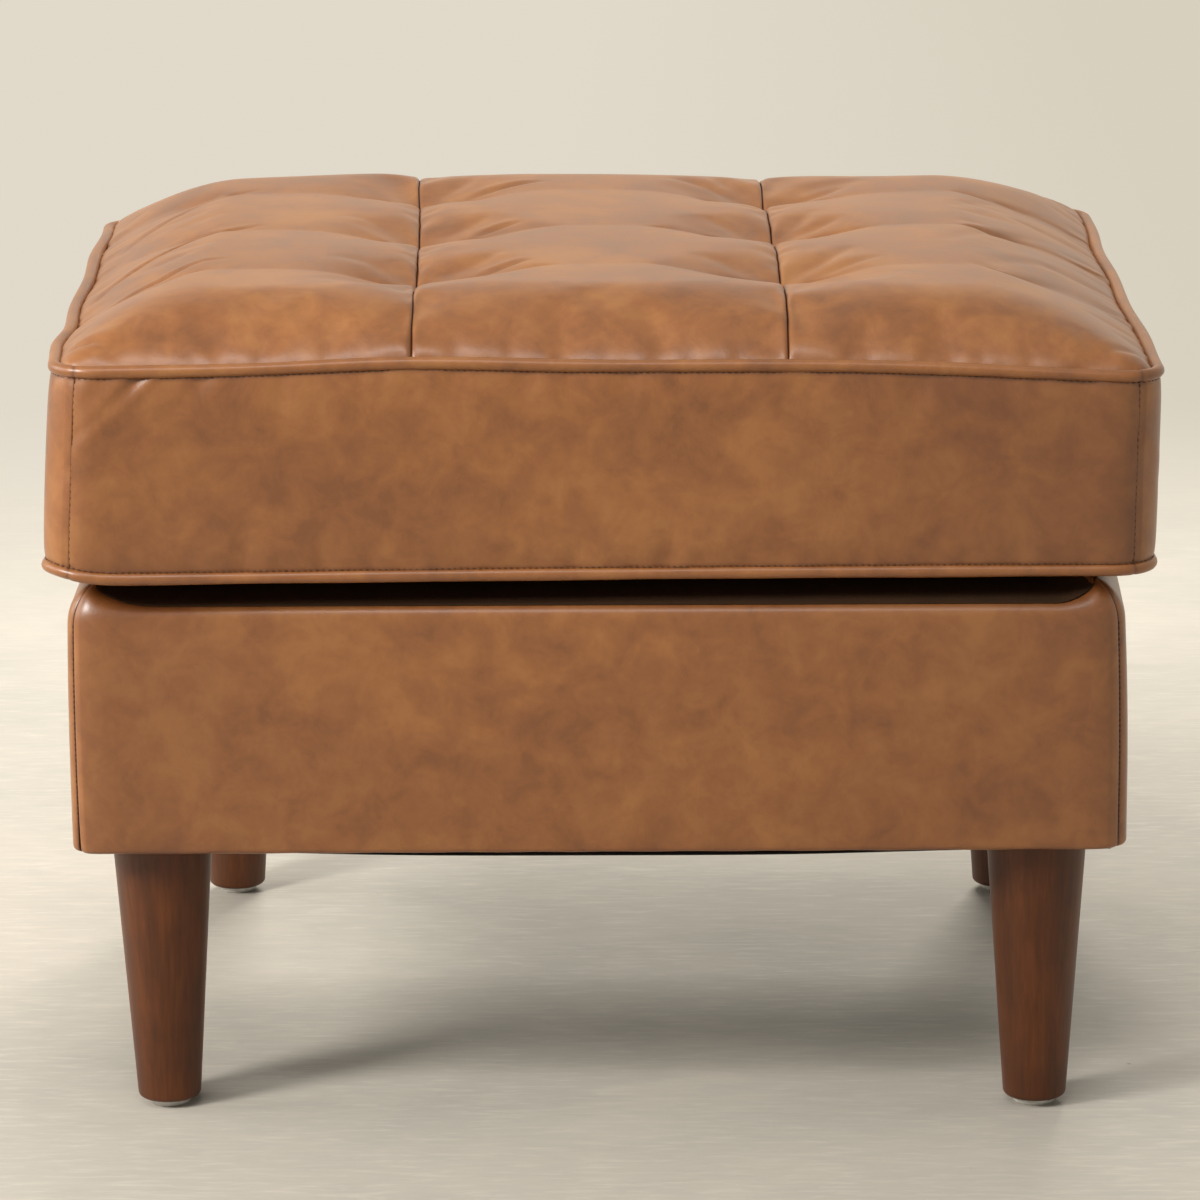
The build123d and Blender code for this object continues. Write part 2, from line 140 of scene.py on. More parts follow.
def gridPiece(name, points, closed=False, flip=False, caps=()):
    # points in rows and columns; caps are the rows that are closed with a face of their own
    points = np.asarray(points, float)
    index = numbered(points.shape)
    faces = gridFaces(index, closed, flip)
    faces += [(index[row] if row else index[row][::-1]).tolist() for row in caps]
    return meshPiece(name, points.reshape(-1, 3), faces)


def settled(piece):
    # the piece with its modifiers turned into plain mesh
    graph = bpy.context.evaluated_depsgraph_get()
    made = bpy.data.meshes.new_from_object(piece.evaluated_get(graph))
    piece.modifiers.clear()
    old, piece.data = piece.data, made
    bpy.data.meshes.remove(old)
    made.name = piece.name
    made.shade_smooth()
    return piece


def shaped(piece, kind, **settings):
    modifier = piece.modifiers.new(kind.title(), kind)
    for name, value in settings.items():
        setattr(modifier, name, value)
    return settled(piece)


def subdivide(piece):
    return shaped(piece, "SUBSURF", levels=1, render_levels=1)


def thicken(piece, thickness, offset=-1):
    return shaped(piece, "SOLIDIFY", thickness=thickness, offset=offset)


def verts(mesh):
    flat = np.empty(len(mesh.vertices) * 3)
    mesh.vertices.foreach_get("co", flat)
    return flat.reshape(-1, 3)


def setVerts(piece, points):
    piece.data.vertices.foreach_set("co", np.asarray(points, float).ravel())
    piece.data.update()


def carried(values):
    # values of a grid's points, taken through the same subdivision as the grid
    plan = subdivide(gridPiece("plan", values))
    found = verts(plan.data)
    bpy.data.objects.remove(plan)
    return found


def setGroove(piece, values):
    # how dark each point is painted, which the leather's colours read: painted shade in seams,
    # creases, under the piping and towards the ends of the fronts, with some dye gathered in the
    # seams
    attribute = piece.data.attributes.new("groove", "FLOAT", "POINT")
    attribute.data.foreach_set("value", np.asarray(values, np.float32))


def finishPiece(piece, body, material, slot, *nodes, fill=None):
    piece.data.materials.clear()
    piece.data.materials.append(material)
    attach(piece, body)
    if nodes:
        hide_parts(*nodes)
    return piece


# Materials
leatherLook = {
    "deep": "#77461F",  # darkest patches of the rub-off finish
    "middle": "#895326",
    "pale": "#97612F",
    "creased": "#4E260E",  # painted shade in seams, creases and under the piping, with some dye and wax gathered in the seams
    "cloud": 85 * mm,
    "blotch": 24 * mm,
    "fleck": 7 * mm,
    "pore": 1.5 * mm,  # real pores are near 0.3 mm, drawn coarser so that they show
    "poreDepth": 0.05 * mm,
    "wrinkle": 9 * mm,
    "wrinkleDepth": 0.16 * mm,
    "roughness": (0.34, 0.47),
    "thickness": 1.8 * mm,
}


# Semi-aniline cowhide, drum dyed and hand rubbed: cloudy two-tone tan with a soft wax gloss
def rubbedLeather(name, shift):
    look = leatherLook
    material, tree = startMaterial(name)
    place = objectPlace(tree, shift)
    cloud = addNode(tree, "ShaderNodeTexNoise", {
        "Vector": place, "Scale": 1 / look["cloud"], "Detail": 2, "Distortion": 0.4})
    blotch = addNode(tree, "ShaderNodeTexNoise", {
        "Vector": place, "Scale": 1 / look["blotch"], "Detail": 4, "Roughness": 0.6,
        "Distortion": 0.5})
    fleck = addNode(tree, "ShaderNodeTexNoise", {
        "Vector": place, "Scale": 1 / look["fleck"], "Detail": 3, "Roughness": 0.6})
    blend = weighted(tree, (cloud, 0.34), (blotch, 0.5), (fleck, 0.16))
    colour = addNode(tree, "ShaderNodeValToRGB", {0: blend}, stops=[
        (0.38, look["deep"]), (0.5, look["middle"]), (0.62, look["pale"])])
    # the groove attribute darkens the hide with painted shade, and with some dye in the seams
    groove = addNode(tree, "ShaderNodeAttribute", out="Fac", attribute_name="groove")
    colour = addNode(tree, "ShaderNodeMix", {0: groove, 6: colour, 7: linear(look["creased"])}, 2,
                     data_type="RGBA")
    pores = addNode(tree, "ShaderNodeTexVoronoi",
                    {"Vector": place, "Scale": 1 / look["pore"]}, feature="SMOOTH_F1")
    wrinkles = addNode(tree, "ShaderNodeTexNoise", {
        "Vector": place, "Scale": 1 / look["wrinkle"], "Detail": 5, "Roughness": 0.62,
        "Distortion": 0.8})
    raised = relief(tree, (wrinkles, look["wrinkleDepth"]), (pores, look["poreDepth"]))
    return dress(material, colour, blend, look["roughness"], raised, (0.3, 0.7), IOR=1.5,
                 Coat_Weight=0.4, Coat_Roughness=0.32)


def leatherPiece(piece, body, shift, fill, *nodes):
    # a padded piece is one hide thick, with a stretch of the pattern of its own
    if fill:
        thicken(piece, leatherLook["thickness"])
    hide = rubbedLeather("Leather" + piece.name.title().replace("_", ""), shift)
    return finishPiece(piece, body, hide, "cover_leather", *nodes, fill=fill)


woodLook = {
    "dark": "#45220A",
    "middle": "#532A0D",
    "light": "#613311",
    "grain": 2.6 * mm,  # width between grain lines
    "stretch": 0.07,  # the grain runs along the leg
    "cloud": 34 * mm,
    "poreDepth": 0.06 * mm,
}
frameLook = dict(woodLook, dark="#B98C5A", middle="#D0A672", light="#E0BC8C", grain=4 * mm,
                 stretch=0.06)


# Beech, turned and stained walnut under satin lacquer: upright grain and a soft sheen
def stainedBeech(name, look, shift, turn=(0, 0, 0), roughness=0.46, coat=0.13):
    material, tree = startMaterial(name)
    place = objectPlace(tree, shift, turn=turn)
    drawn = addNode(tree, "ShaderNodeMapping", {"Vector": place, "Scale": (1, 1, look["stretch"])})
    lines = addNode(tree, "ShaderNodeTexNoise", {
        "Vector": drawn, "Scale": 1 / look["grain"], "Detail": 6, "Roughness": 0.62,
        "Distortion": 0.35})
    bands = addNode(tree, "ShaderNodeTexNoise", {
        "Vector": drawn, "Scale": 1 / (look["grain"] * 6), "Detail": 2, "Distortion": 0.8})
    clouds = addNode(tree, "ShaderNodeTexNoise", {
        "Vector": place, "Scale": 1 / look["cloud"], "Detail": 2})
    blend = weighted(tree, (lines, 0.42), (bands, 0.34), (clouds, 0.24))
    colour = addNode(tree, "ShaderNodeValToRGB", {0: blend}, stops=[
        (0.38, look["dark"]), (0.5, look["middle"]), (0.62, look["light"])])
    return dress(material, colour, lines, (roughness - 0.05, roughness + 0.08),
                 relief(tree, (lines, look["poreDepth"])), IOR=1.45, Specular_IOR_Level=0.35,
                 Coat_Weight=coat, Coat_Roughness=0.25)


# Woven or felted cloth, flat and matt, with its threads a real distance apart
def wovenCloth(name, light, dark, thread, depth, sheen=0.15, shine=0.5):
    material, tree = startMaterial(name)
    place = objectPlace(tree)
    warp, weft = (addNode(tree, "ShaderNodeTexWave", {
        "Vector": place, "Scale": math.pi / thread / 10, "Distortion": 0.6, "Detail": 1.0}, "Fac",
        bands_direction=direction) for direction in "XY")
    weave = addNode(tree, "ShaderNodeMath", {0: warp, 1: weft}, operation="MULTIPLY")
    patchy = addNode(tree, "ShaderNodeTexNoise", {
        "Vector": place, "Scale": 1 / (30 * mm), "Detail": 4, "Roughness": 0.6})
    worn = weighted(tree, (weave, 1.0), (patchy, 0.6))
    colour = addNode(tree, "ShaderNodeValToRGB", {0: worn}, stops=[(0.15, dark), (0.85, light)])
    return dress(material, colour, patchy, (0.82, 0.9), relief(tree, (weave, depth)),
                 Sheen_Weight=sheen, Sheen_Roughness=0.5, Specular_IOR_Level=shine)


def mottled(name, light, dark, size, detail, spread, roughness, depth, bumps=None, blur=0.5,
            **values):
    # two near colours in soft patches, raised by those patches or by bumps of their own
    material, tree = startMaterial(name)
    place = objectPlace(tree)
    patchy = addNode(tree, "ShaderNodeTexNoise", {
        "Vector": place, "Scale": 1 / size, "Detail": detail, "Roughness": blur})
    colour = addNode(tree, "ShaderNodeValToRGB", {0: patchy}, stops=[
        (0.5 - spread, dark), (0.5 + spread, light)])
    height = patchy
    if bumps:
        height = addNode(tree, bumps[0], {"Vector": place, "Scale": 1 / bumps[1]})
    return dress(material, colour, patchy, roughness, relief(tree, (height, depth)), **values)


# Open-cell foam and carded fibre, matt and soft, with small uneven cells
def cellular(name, light, dark, cell, depth):
    return mottled(name, light, dark, cell * 9, 4, 0.15, (0.85, 1.0), depth,
                   ("ShaderNodeTexVoronoi", cell), 0.6, Sheen_Weight=0.2)


# Plated steel and cast zinc, with fine rub marks
def platedMetal(name, light, dark, roughness):
    return mottled(name, light, dark, 2.5 * mm, 5, 0.15, (roughness - 0.08, roughness + 0.12),
                   0.02 * mm, blur=0.65, Metallic=1.0)


# Moulded plastic with a faint mould texture
def mouldedPlastic(name, light, dark, roughness):
    return mottled(name, light, dark, 4 * mm, 3, 0.2, (roughness - 0.05, roughness + 0.05),
                   0.02 * mm, ("ShaderNodeTexNoise", 0.8 * mm), IOR=1.53)


# Polyester sewing thread, three-ply, darker than the hide
def sewingThread(name, light, dark):
    return mottled(name, light, dark, 0.5 * mm, 2, 0.15, (0.6, 0.8), 0.05 * mm, Sheen_Weight=0.05)


darkThread = sewingThread("ThreadBrown", "#63391B", "#40230E")
blackFelt = wovenCloth("DustClothFelt", "#2B2826", "#161413", 0.9 * mm, 0.08 * mm)
# the deck cloth's dark brown is set to pass for the shade in the gap under the cushion
deckFabric = wovenCloth("DeckCottonDrill", "#3C2818", "#24170D", 1.0 * mm, 0.1 * mm, 0.0, 0.12)
jute = wovenCloth("WebbingJute", "#B99B6C", "#8A6D43", 1.6 * mm, 0.3 * mm)
hessian = wovenCloth("HessianJute", "#B08E5E", "#7C6039", 2.2 * mm, 0.3 * mm)
waxedTwine = sewingThread("TwineWaxed", "#CDBB95", "#A8946A")
zipFabric = wovenCloth("ZipTapePolyester", "#6B4528", "#4C2F1A", 0.7 * mm, 0.06 * mm)
foam = cellular("FoamPolyurethane", "#EBDDB2", "#D9C793", 0.9 * mm, 0.15 * mm)
fibre = cellular("FibreWadding", "#F1EFEA", "#D9D6CF", 2.0 * mm, 0.3 * mm)
steel = platedMetal("SteelZincPlated", "#C9CACC", "#9FA2A6", 0.34)
brass = platedMetal("ZipAntiqueBrass", "#A98752", "#6E532C", 0.38)
glidePlastic = mouldedPlastic("GlideNylon", "#D9D6CF", "#C2BEB5", 0.35)
togglePlastic = mouldedPlastic("TogglePolypropylene", "#E8E4DA", "#D6D1C5", 0.4)
zipPlastic = mouldedPlastic("ZipCoilNylon", "#5A3820", "#3F2614", 0.4)
print("Materials made")

# Levels and half sizes of the cushion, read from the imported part
weltLow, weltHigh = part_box("top_welt")
weltRadius = (weltHigh.z - weltLow.z) / 2
topWelt = (weltHigh.z + weltLow.z) / 2
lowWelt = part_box("bottom_welt")[0].z + weltRadius
halfWide = weltHigh.x - weltRadius
halfDeep = weltHigh.y - weltRadius
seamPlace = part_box("top_middle_panel")[1].x
crownHeight = (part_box("top_middle_panel")[1].z - topWelt) * 0.93
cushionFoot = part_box("bottom_panel")[0].z
tuftPitch = (halfDeep + weltRadius) / 2

cushion = {
    "cornerRadius": 22 * mm,
    "sideDraw": 3 * mm,  # how far the sides pull in between the corners
    "shoulders": {"left": 80 * mm, "right": 98 * mm, "front": 66 * mm, "back": 84 * mm},
    "cornerFill": 2.0,  # higher fills the crown's corners more
    "valleys": {"left": 2.6 * mm, "middle": 1.2 * mm, "right": 1.2 * mm},
    "valleyWidth": 23 * mm,
    "valleyFloor": 2.5 * mm,
    "tuftDip": 12.5 * mm,
    "tuftReach": 44 * mm,
    "seamDip": 1.8 * mm,
    "seamWidth": 24 * mm,
    "wallBulge": 2.2 * mm,
    "wallRoll": 4.5 * mm,
    "gridStep": 5 * mm,
    # rises and hollows of the crown's back half: place across, half width, height
    "backWaves": [(-112 * mm, 50 * mm, 1.9 * mm), (52 * mm, 40 * mm, -1.2 * mm),
                  (160 * mm, 58 * mm, -2.5 * mm)],
}
fineSteps = (1 * mm, 2.4 * mm, 4.4 * mm, 7.4 * mm)  # closer rows beside every seam


def fineSpan(start, end, step):
    length = end - start
    first, last = fineSteps[-1], length - fineSteps[-1]
    count = max(1, round((last - first) / step))
    inner = [first + (last - first) * i / count for i in range(1, count)]
    offsets = [0, *fineSteps, *inner, *(length - f for f in reversed(fineSteps))]
    return np.array([start + o for o in offsets] + [end])


def joinSpans(places, step):
    spans = [fineSpan(start, end, step)[:-1] for start, end in zip(places, places[1:])]
    marks = np.cumsum([0] + [len(span) for span in spans])
    return np.append(np.concatenate(spans), places[-1]), marks


def shoulderShare(place, half, sides):
    # 0 at the cushion's edge, rising in an arc to 1 past the shoulder of that side
    shares = []
    for side in sides:
        wide = cushion["shoulders"][side]
        radius = (wide ** 2 + crownHeight ** 2) / (2 * crownHeight)
        inside = np.clip(half - abs(place), 0, wide)
        arc = np.sqrt(radius ** 2 - (wide - inside) ** 2) - (radius - crownHeight)
        shares.append(arc / crownHeight)
    return np.maximum(np.where(place < 0, *shares), 1e-4)


def planPoint(x, y):
    # a point of the square grid moved to the cushion's rounded and drawn-in outline
    radius = cushion["cornerRadius"]
    a = np.clip((abs(x) - (halfWide - radius)) / radius, 0, 1)
    b = np.clip((abs(y) - (halfDeep - radius)) / radius, 0, 1)
    newX = np.where(a > 0, halfWide - radius + radius * a * np.sqrt(1 - b ** 2 / 2), abs(x))
    newY = np.where(b > 0, halfDeep - radius + radius * b * np.sqrt(1 - a ** 2 / 2), abs(y))
    drawX = cushion["sideDraw"] * (1 - np.clip(y / (halfDeep - radius), -1, 1) ** 2)
    drawY = cushion["sideDraw"] * (1 - np.clip(x / (halfWide - radius), -1, 1) ** 2)
    newX = newX - drawX * (abs(x) / halfWide) ** 6
    newY = newY - np.where(y < 0, drawY, 0) * (abs(y) / halfDeep) ** 6
    return np.sign(x) * newX, np.sign(y) * newY


def rowDistance(y):
    return np.min([abs(y - row * tuftPitch) for row in (-1, 0, 1)], axis=0)


def crown(x, y):
    # height of the top over its piping: shoulders, less the valleys between the tufts
    fx = shoulderShare(x, halfWide, ("left", "right"))
    fy = shoulderShare(y, halfDeep, ("front", "back"))
    power = cushion["cornerFill"]
    full = (fx ** -power + fy ** -power - 1) ** (-1 / power)
    beside, away = abs(abs(x) - seamPlace), rowDistance(y)
    near = np.exp(-(beside / cushion["tuftReach"]) ** 2.4)
    left, middle, right = cushion["valleys"].values()
    across = np.where(x < -seamPlace, left, np.where(x > seamPlace, right, middle))
    soft = cushion["valleyFloor"]
    cusp = np.exp(-(np.sqrt(away ** 2 + soft ** 2) - soft) / cushion["valleyWidth"])
    dip = (across * (1 - near) + cushion["tuftDip"] * near) * cusp
    dip += cushion["seamDip"] * np.exp(-(beside / cushion["seamWidth"]) ** 2)
    dip *= 1 - 0.65 * np.clip((y - tuftPitch - 8 * mm) / (36 * mm), 0, 1)
    for place, half, high in cushion["backWaves"]:
        dip -= high * np.exp(-((x - place) / half) ** 2) * np.clip((y - 40 * mm) / (80 * mm), 0, 1)
    return crownHeight * full - dip * full ** 1.5


def wallOffset(share, height):
    # how far the border stands out from the welts' line, at a share of its height
    fromEdge = np.minimum(share, 1 - share) * height
    rounded = 1 - np.exp(-fromEdge / cushion["wallRoll"])
    return cushion["wallBulge"] * rounded * (0.72 + 0.28 * np.sin(math.pi * share))


columns, columnMarks = joinSpans([-halfWide, -seamPlace, seamPlace, halfWide], cushion["gridStep"])
rows, rowMarks = joinSpans([-halfDeep, -tuftPitch, 0, tuftPitch, halfDeep], cushion["gridStep"])
gridX, gridY = np.meshgrid(columns, rows)
topGrid = np.stack([*planPoint(gridX, gridY), topWelt + crown(gridX, gridY)], axis=2)


def ringOf(grid):
    # the grid's outer points, running round from the front left corner
    return np.concatenate([grid[0, :-1], grid[:-1, -1], grid[-1, :0:-1], grid[:0:-1, 0]])


ring = ringOf(topGrid)[:, :2]
ringAlong = np.roll(ring, -1, axis=0) - np.roll(ring, 1, axis=0)
ringNormal = np.stack([ringAlong[:, 1], -ringAlong[:, 0]], axis=1)
ringNormal /= np.linalg.norm(ringNormal, axis=1)[:, None]
wallHeight = topWelt - lowWelt
wallLevels = fineSpan(0, wallHeight, 7 * mm)
wallGrid = np.stack([
    np.column_stack([ring + ringNormal * wallOffset(level / wallHeight, wallHeight),
                     np.full(len(ring), lowWelt + level)])
    for level in wallLevels])
print("Cushion grid", topGrid.shape, "border grid", wallGrid.shape)

simulation = {
    "pressure": 4.0,
    "frames": 14,
    "shrunk": 3 * mm,  # the crown starts this much lower, since it swells
    "topMove": 3.2 * mm,  # cap on how far a point of the top may move
    "wallMove": 1.2 * mm,
    "spareLeather": 0.008,  # extra cloth, as a share, that puckers at the tufts
    "seamHold": 0.4,
}


# The closed cover swells under pressure with its welts and tufts held, as stuffed leather does
def inflate(top, wall):
    index, around = numbered(top.shape), wall.shape[1]
    start, rim = index.size, ringOf(index)
    points = np.concatenate([top.reshape(-1, 3), wall[:-1].reshape(-1, 3)])
    levels = [start + level * around + np.arange(around) for level in range(len(wall) - 1)] + [rim]
    body = meshPiece("swelling", points, gridFaces(index) + gridFaces(levels, closed=True))
    beside = abs(abs(gridX) - seamPlace)
    hold = body.vertex_groups.new(name="hold")
    for held, weight in ((np.concatenate([rim, levels[0]]), 1.0),
                         (index[beside < 0.5 * mm], simulation["seamHold"]),
                         (index[np.hypot(beside, rowDistance(gridY)) < 3 * mm], 1.0)):
        hold.add(held.tolist(), weight, "REPLACE")
    cloth = body.modifiers.new("Cloth", "CLOTH")
    settings = cloth.settings
    settings.quality = 6
    settings.use_pressure = True
    settings.uniform_pressure_force = simulation["pressure"]
    settings.vertex_group_mass = "hold"
    settings.shrink_min = -simulation["spareLeather"]
    settings.bending_stiffness = 2.5
    settings.effector_weights.gravity = 0
    cloth.point_cache.frame_start = 1
    cloth.point_cache.frame_end = simulation["frames"]
    for step in range(1, simulation["frames"] + 1):
        bpy.context.scene.frame_set(step)
    graph = bpy.context.evaluated_depsgraph_get()
    shift = verts(bpy.data.meshes.new_from_object(body.evaluated_get(graph))) - points
    caps = np.where(np.arange(len(points)) < start, simulation["topMove"], simulation["wallMove"])
    length = np.linalg.norm(shift, axis=1)
    made = points + shift * (np.minimum(length, caps) / np.maximum(length, 1e-9))[:, None]
    print("Largest swell in mm", round(float(length.max() / mm), 1))
    bpy.context.scene.frame_set(1)
    bpy.data.objects.remove(body)
    newWall = np.concatenate([made[start:], made[rim]]).reshape(len(wall), around, 3)
    return made[:start].reshape(top.shape), newWall


lowered = topGrid.copy()
lowered[..., 2] -= simulation["shrunk"] * (topGrid[..., 2] - topWelt) / crownHeight
topGrid, wallGrid = inflate(lowered, wallGrid)
print("Cushion cover swollen")

settling = {
    "turn": 0.026,  # radians that the loose cushion is turned; its back stays on its zip
    "cornerDrop": 5.5 * mm,  # the front right corner sits lower than the others
    "cornerReach": 115 * mm,
    "backDrop": 6.5 * mm,  # and so does the back left one
    "backReach": 85 * mm,
    "sideDrop": 3 * mm,  # and the whole right edge a little
    "seamRise": 3 * mm,
    "seamReach": 70 * mm,
    "leanLeft": 8.3 * mm,  # the left side leans in towards its top
    "spreadFront": 6.5 * mm,  # and stands out, more so towards the back
    "spreadBack": 12.5 * mm,
    "spreadRight": 1.8 * mm,
    "leanRight": 3.2 * mm,  # the right side stands out at its top
    "cornerLift": 4.4 * mm,  # the lower piping rides up at the front left corner
    "liftReach": 20 * mm,
    "leanBack": 3 * mm,  # behind its front corner the left side leans in less
    "ear": 4 * mm,  # and the corner itself sticks out
    "earReach": 34 * mm,
    "leftSeam": (3.4 * mm, 12 * mm),  # shift to the left at the front, and more at the back
    "rightSeam": (0, 4 * mm),
    "seamSway": 90 * mm,
    "sideWave": 0.8 * mm,
}


def settle(points):
    # the small unevenness of a used cushion, growing from nothing at its foot
    look = settling
    x, y, z = np.asarray(points, float).T
    height = np.clip((z - lowWelt) / wallHeight, 0, 1)
    frontward = np.clip(0.5 - y / halfDeep / 2, 0, 1)
    corner = np.hypot(x - halfWide, (y + halfDeep) * 0.8) / look["cornerReach"]
    seamEnd = np.hypot(x + seamPlace, y + halfDeep) / look["seamReach"]
    backCorner = np.hypot(x + halfWide, y - halfDeep) / look["backReach"]
    leftward = np.clip(-x / halfWide, 0, 1) ** 3
    rightward = np.clip(x / halfWide, 0, 1) ** 3
    z = z - height * (look["cornerDrop"] * np.exp(-corner ** 2)
                      - look["seamRise"] * np.exp(-seamEnd ** 2)
                      + look["backDrop"] * np.exp(-backCorner ** 2)
                      + look["sideDrop"] * rightward)
    lift = np.hypot(x + halfWide, (y + halfDeep - 12 * mm) * 0.6) / look["liftReach"]
    z = z + look["cornerLift"] * (1 - height) * np.exp(-lift ** 2)
    for side, (first, more) in ((-1, look["leftSeam"]), (1, look["rightSeam"])):
        near = np.exp(-((x - side * seamPlace) / look["seamSway"]) ** 2)
        x = x - height * near * (first + more * (1 - frontward) ** 1.8)
    x = x + leftward * (look["leanLeft"] * height - look["spreadFront"]
                        - look["spreadBack"] * (1 - frontward) ** 0.6)
    behind = 1 / (1 + np.exp(-(y + 110 * mm) / (20 * mm)))
    ear = np.exp(-((y + 180 * mm) / look["earReach"]) ** 2)
    x = x - leftward * height * (look["leanBack"] * behind + look["ear"] * ear)
    x = x + rightward * (look["spreadRight"] + look["leanRight"] * height ** 2)
    x = x + height * look["sideWave"] * (leftward + rightward) * np.sin(y / (27 * mm) + 1)
    y = y + look["turn"] * x * frontward
    x = x - look["turn"] * y
    return np.stack([x, y, z], axis=1)


# Folds in the top, from the photograph, in mm: start, end, depth, width, bow backwards
creases = [
    # sharp creases over the left shoulder, in line with each row of tufts
    ((-282, -145), (-206, -102), 1.2, 1.8, 8),
    ((-289, -96), (-190, 14), 1.8, 1.8, 15),
    ((-284, 40), (-200, 142), 1.2, 2.4, 12),
    # short creases beside the left tufts, on the middle panel
    ((-66, -128), (-36, -112), 1.7, 2.4, 2),
    ((-68, 4), (-42, 20), 1.7, 2.4, 2),
    ((-72, 134), (-28, 158), 1.7, 2.4, 3),
    # soft folds that fan out from the tufts
    ((-88, -118), (-52, -84), 1.4, 5, -3),
    ((-88, 12), (-58, 48), 1.2, 5, -3),
    ((-90, 142), (-66, 182), 1.2, 5, -2),
    ((86, 140), (40, 176), 1.6, 4.5, 3),
    ((90, 148), (62, 192), 1.1, 4.5, 2),
    ((108, -120), (142, -76), 1.8, 5, -4),
    ((114, -126), (158, -104), 1.2, 4, -2),
    ((110, 10), (142, 34), 1.5, 4.5, -3),
    ((108, 16), (126, 56), 1.1, 4.5, -2),
    ((112, 138), (150, 158), 1.6, 3.5, -2),
    ((84, 8), (56, 36), 1.0, 5, 3),
    ((82, -122), (52, -96), 0.9, 5, 3),
    ((-112, -118), (-150, -92), 1.0, 5, 3),
    ((-112, 14), (-146, 44), 0.9, 5, 3),
    # faint diagonal folds on the right shoulder and puckers in the front corners
    ((196, -60), (262, 30), 0.9, 6, 6),
    ((214, -120), (272, -50), 0.8, 6, 5),
    ((206, 60), (264, 140), 0.8, 6, 6),
    ((-292, -232), (-262, -244), 1.8, 3, 1),
    ((-270, -252), (-250, -222), 1.0, 4, -3),
    ((290, -230), (266, -246), 1.4, 3, 1),
    ((262, -250), (250, -224), 0.9, 4, 2),
]
panelEdge = {
    "rollDepth": 1.7 * mm,
    "rollWidth": 1.1 * mm,
    "weltPinch": 2.8 * mm,
    "weltWidth": 4 * mm,
    "grooveWidth": 0.7 * mm,
}
# the three panels of the top, and where each is cut from the hide's pattern
topPanels = {"left": (0.31, 0.12, 0.05), "middle": (0.83, 0.47, 0.21), "right": (1.27, 0.73, 0.39)}


def dressTop(points, flatX, flatY):
    # fine folds and seams, worked out on the unmoved grid places
    beside = abs(abs(flatX) - seamPlace)
    sideward, frontward = halfWide - abs(flatX), halfDeep + flatY
    inside = np.minimum(sideward, halfDeep - abs(flatY))
    drop = panelEdge["rollDepth"] * np.exp(-beside / panelEdge["rollWidth"])
    drop += panelEdge["weltPinch"] * np.exp(-(inside / panelEdge["weltWidth"]) ** 2)
    # painted shade along the seams, beside the piping and in the dip between crown and piping at
    # the corners
    groove = np.exp(-(beside / panelEdge["grooveWidth"]) ** 2)
    groove += 0.6 * np.exp(-(sideward / (2.4 * mm)) ** 2)
    groove += 0.6 * np.exp(-(frontward / (2 * mm)) ** 2 - (sideward / (26 * mm)) ** 4)
    for start, end, depth, width, bow in creases:
        start, end = np.array(start) * mm, np.array(end) * mm
        length = np.linalg.norm(end - start)
        along = (end - start) / length
        share = ((flatX - start[0]) * along[0] + (flatY - start[1]) * along[1]) / length
        across = (flatY - start[1]) * along[0] - (flatX - start[0]) * along[1]
        inner = np.clip(share, 0, 1)
        across = across - np.sign(along[0]) * bow * mm * np.sin(math.pi * inner)
        fade = np.sin(math.pi * inner) ** 0.8
        fold = np.exp(-(abs(across) / (width * mm)) ** 1.6) * fade
        ridge = np.exp(-((across - 2.2 * width * mm) / (1.6 * width * mm)) ** 2)
        drop += depth * mm * (fold - 0.35 * ridge * fade)
        # the sharp creases get painted shade
        groove += 0.2 * fold * (width < 3)
    points[:, 2] -= drop
    return points, np.clip(groove, 0, 1)


for number, (part, shift) in enumerate(topPanels.items()):
    keep = slice(columnMarks[number], columnMarks[number + 1] + 1)
    flatX, flatY, _ = carried(np.stack([gridX, gridY, gridX * 0], axis=2)[:, keep]).T
    panel = subdivide(gridPiece(f"top_{part}_cover", topGrid[:, keep]))
    points, groove = dressTop(verts(panel.data), flatX, flatY)
    setVerts(panel, settle(points))
    setGroove(panel, groove)
    leatherPiece(panel, "cushion", shift, 0.75, f"top_{part}_panel")
print("Top panels made")

# Borders: resampled round the cushion so that rows lie close beside the corner seams
wallDistance = np.append(0, np.cumsum(np.linalg.norm(np.roll(ring, -1, axis=0) - ring, axis=1)))
roundLength = wallDistance[-1]
cornerSeamInset = 11.5 * mm  # from the side, so the seam stands on the front and back faces


def alongRing(values, distance):
    # values of the closed grid at any distance round the cushion
    closed = np.concatenate([values, values[:1]])
    wrapped = np.mod(distance, roundLength)
    return np.stack([np.interp(wrapped, wallDistance, axis) for axis in closed.T], axis=-1)


def markGap(places, marks, around):
    # distance round a closed outline to the nearest mark
    return np.min([abs(np.mod(places - mark + around / 2, around) - around / 2)
                   for mark in marks], axis=0)


seamCorners = {}
for corner, wide, deep in (("frontLeft", -1, -1), ("frontRight", 1, -1), ("backRight", 1, 1),
                           ("backLeft", -1, 1)):
    away = np.hypot(ring[:, 0] - wide * (halfWide - cornerSeamInset), ring[:, 1] - deep * halfDeep)
    seamCorners[corner] = wallDistance[np.argmin(away)]
# a rolled dip beside each corner seam, and the strength and reach of the painted shade in that
# seam and of the painted shadow along the piping
borderRoll = {"depth": 0.4 * mm, "width": 1.2 * mm, "groove": 0.6 * mm, "stain": 0.12,
              "weltStain": 0.5, "weltReach": 4.6 * mm}
# painted shade towards both ends of the front and back faces: its reach, and its strength at the
# left and right
endShade = {"reach": 156.25 * mm, "cushion": (0.17, 0.36), "base": (0.3, 0.24)}
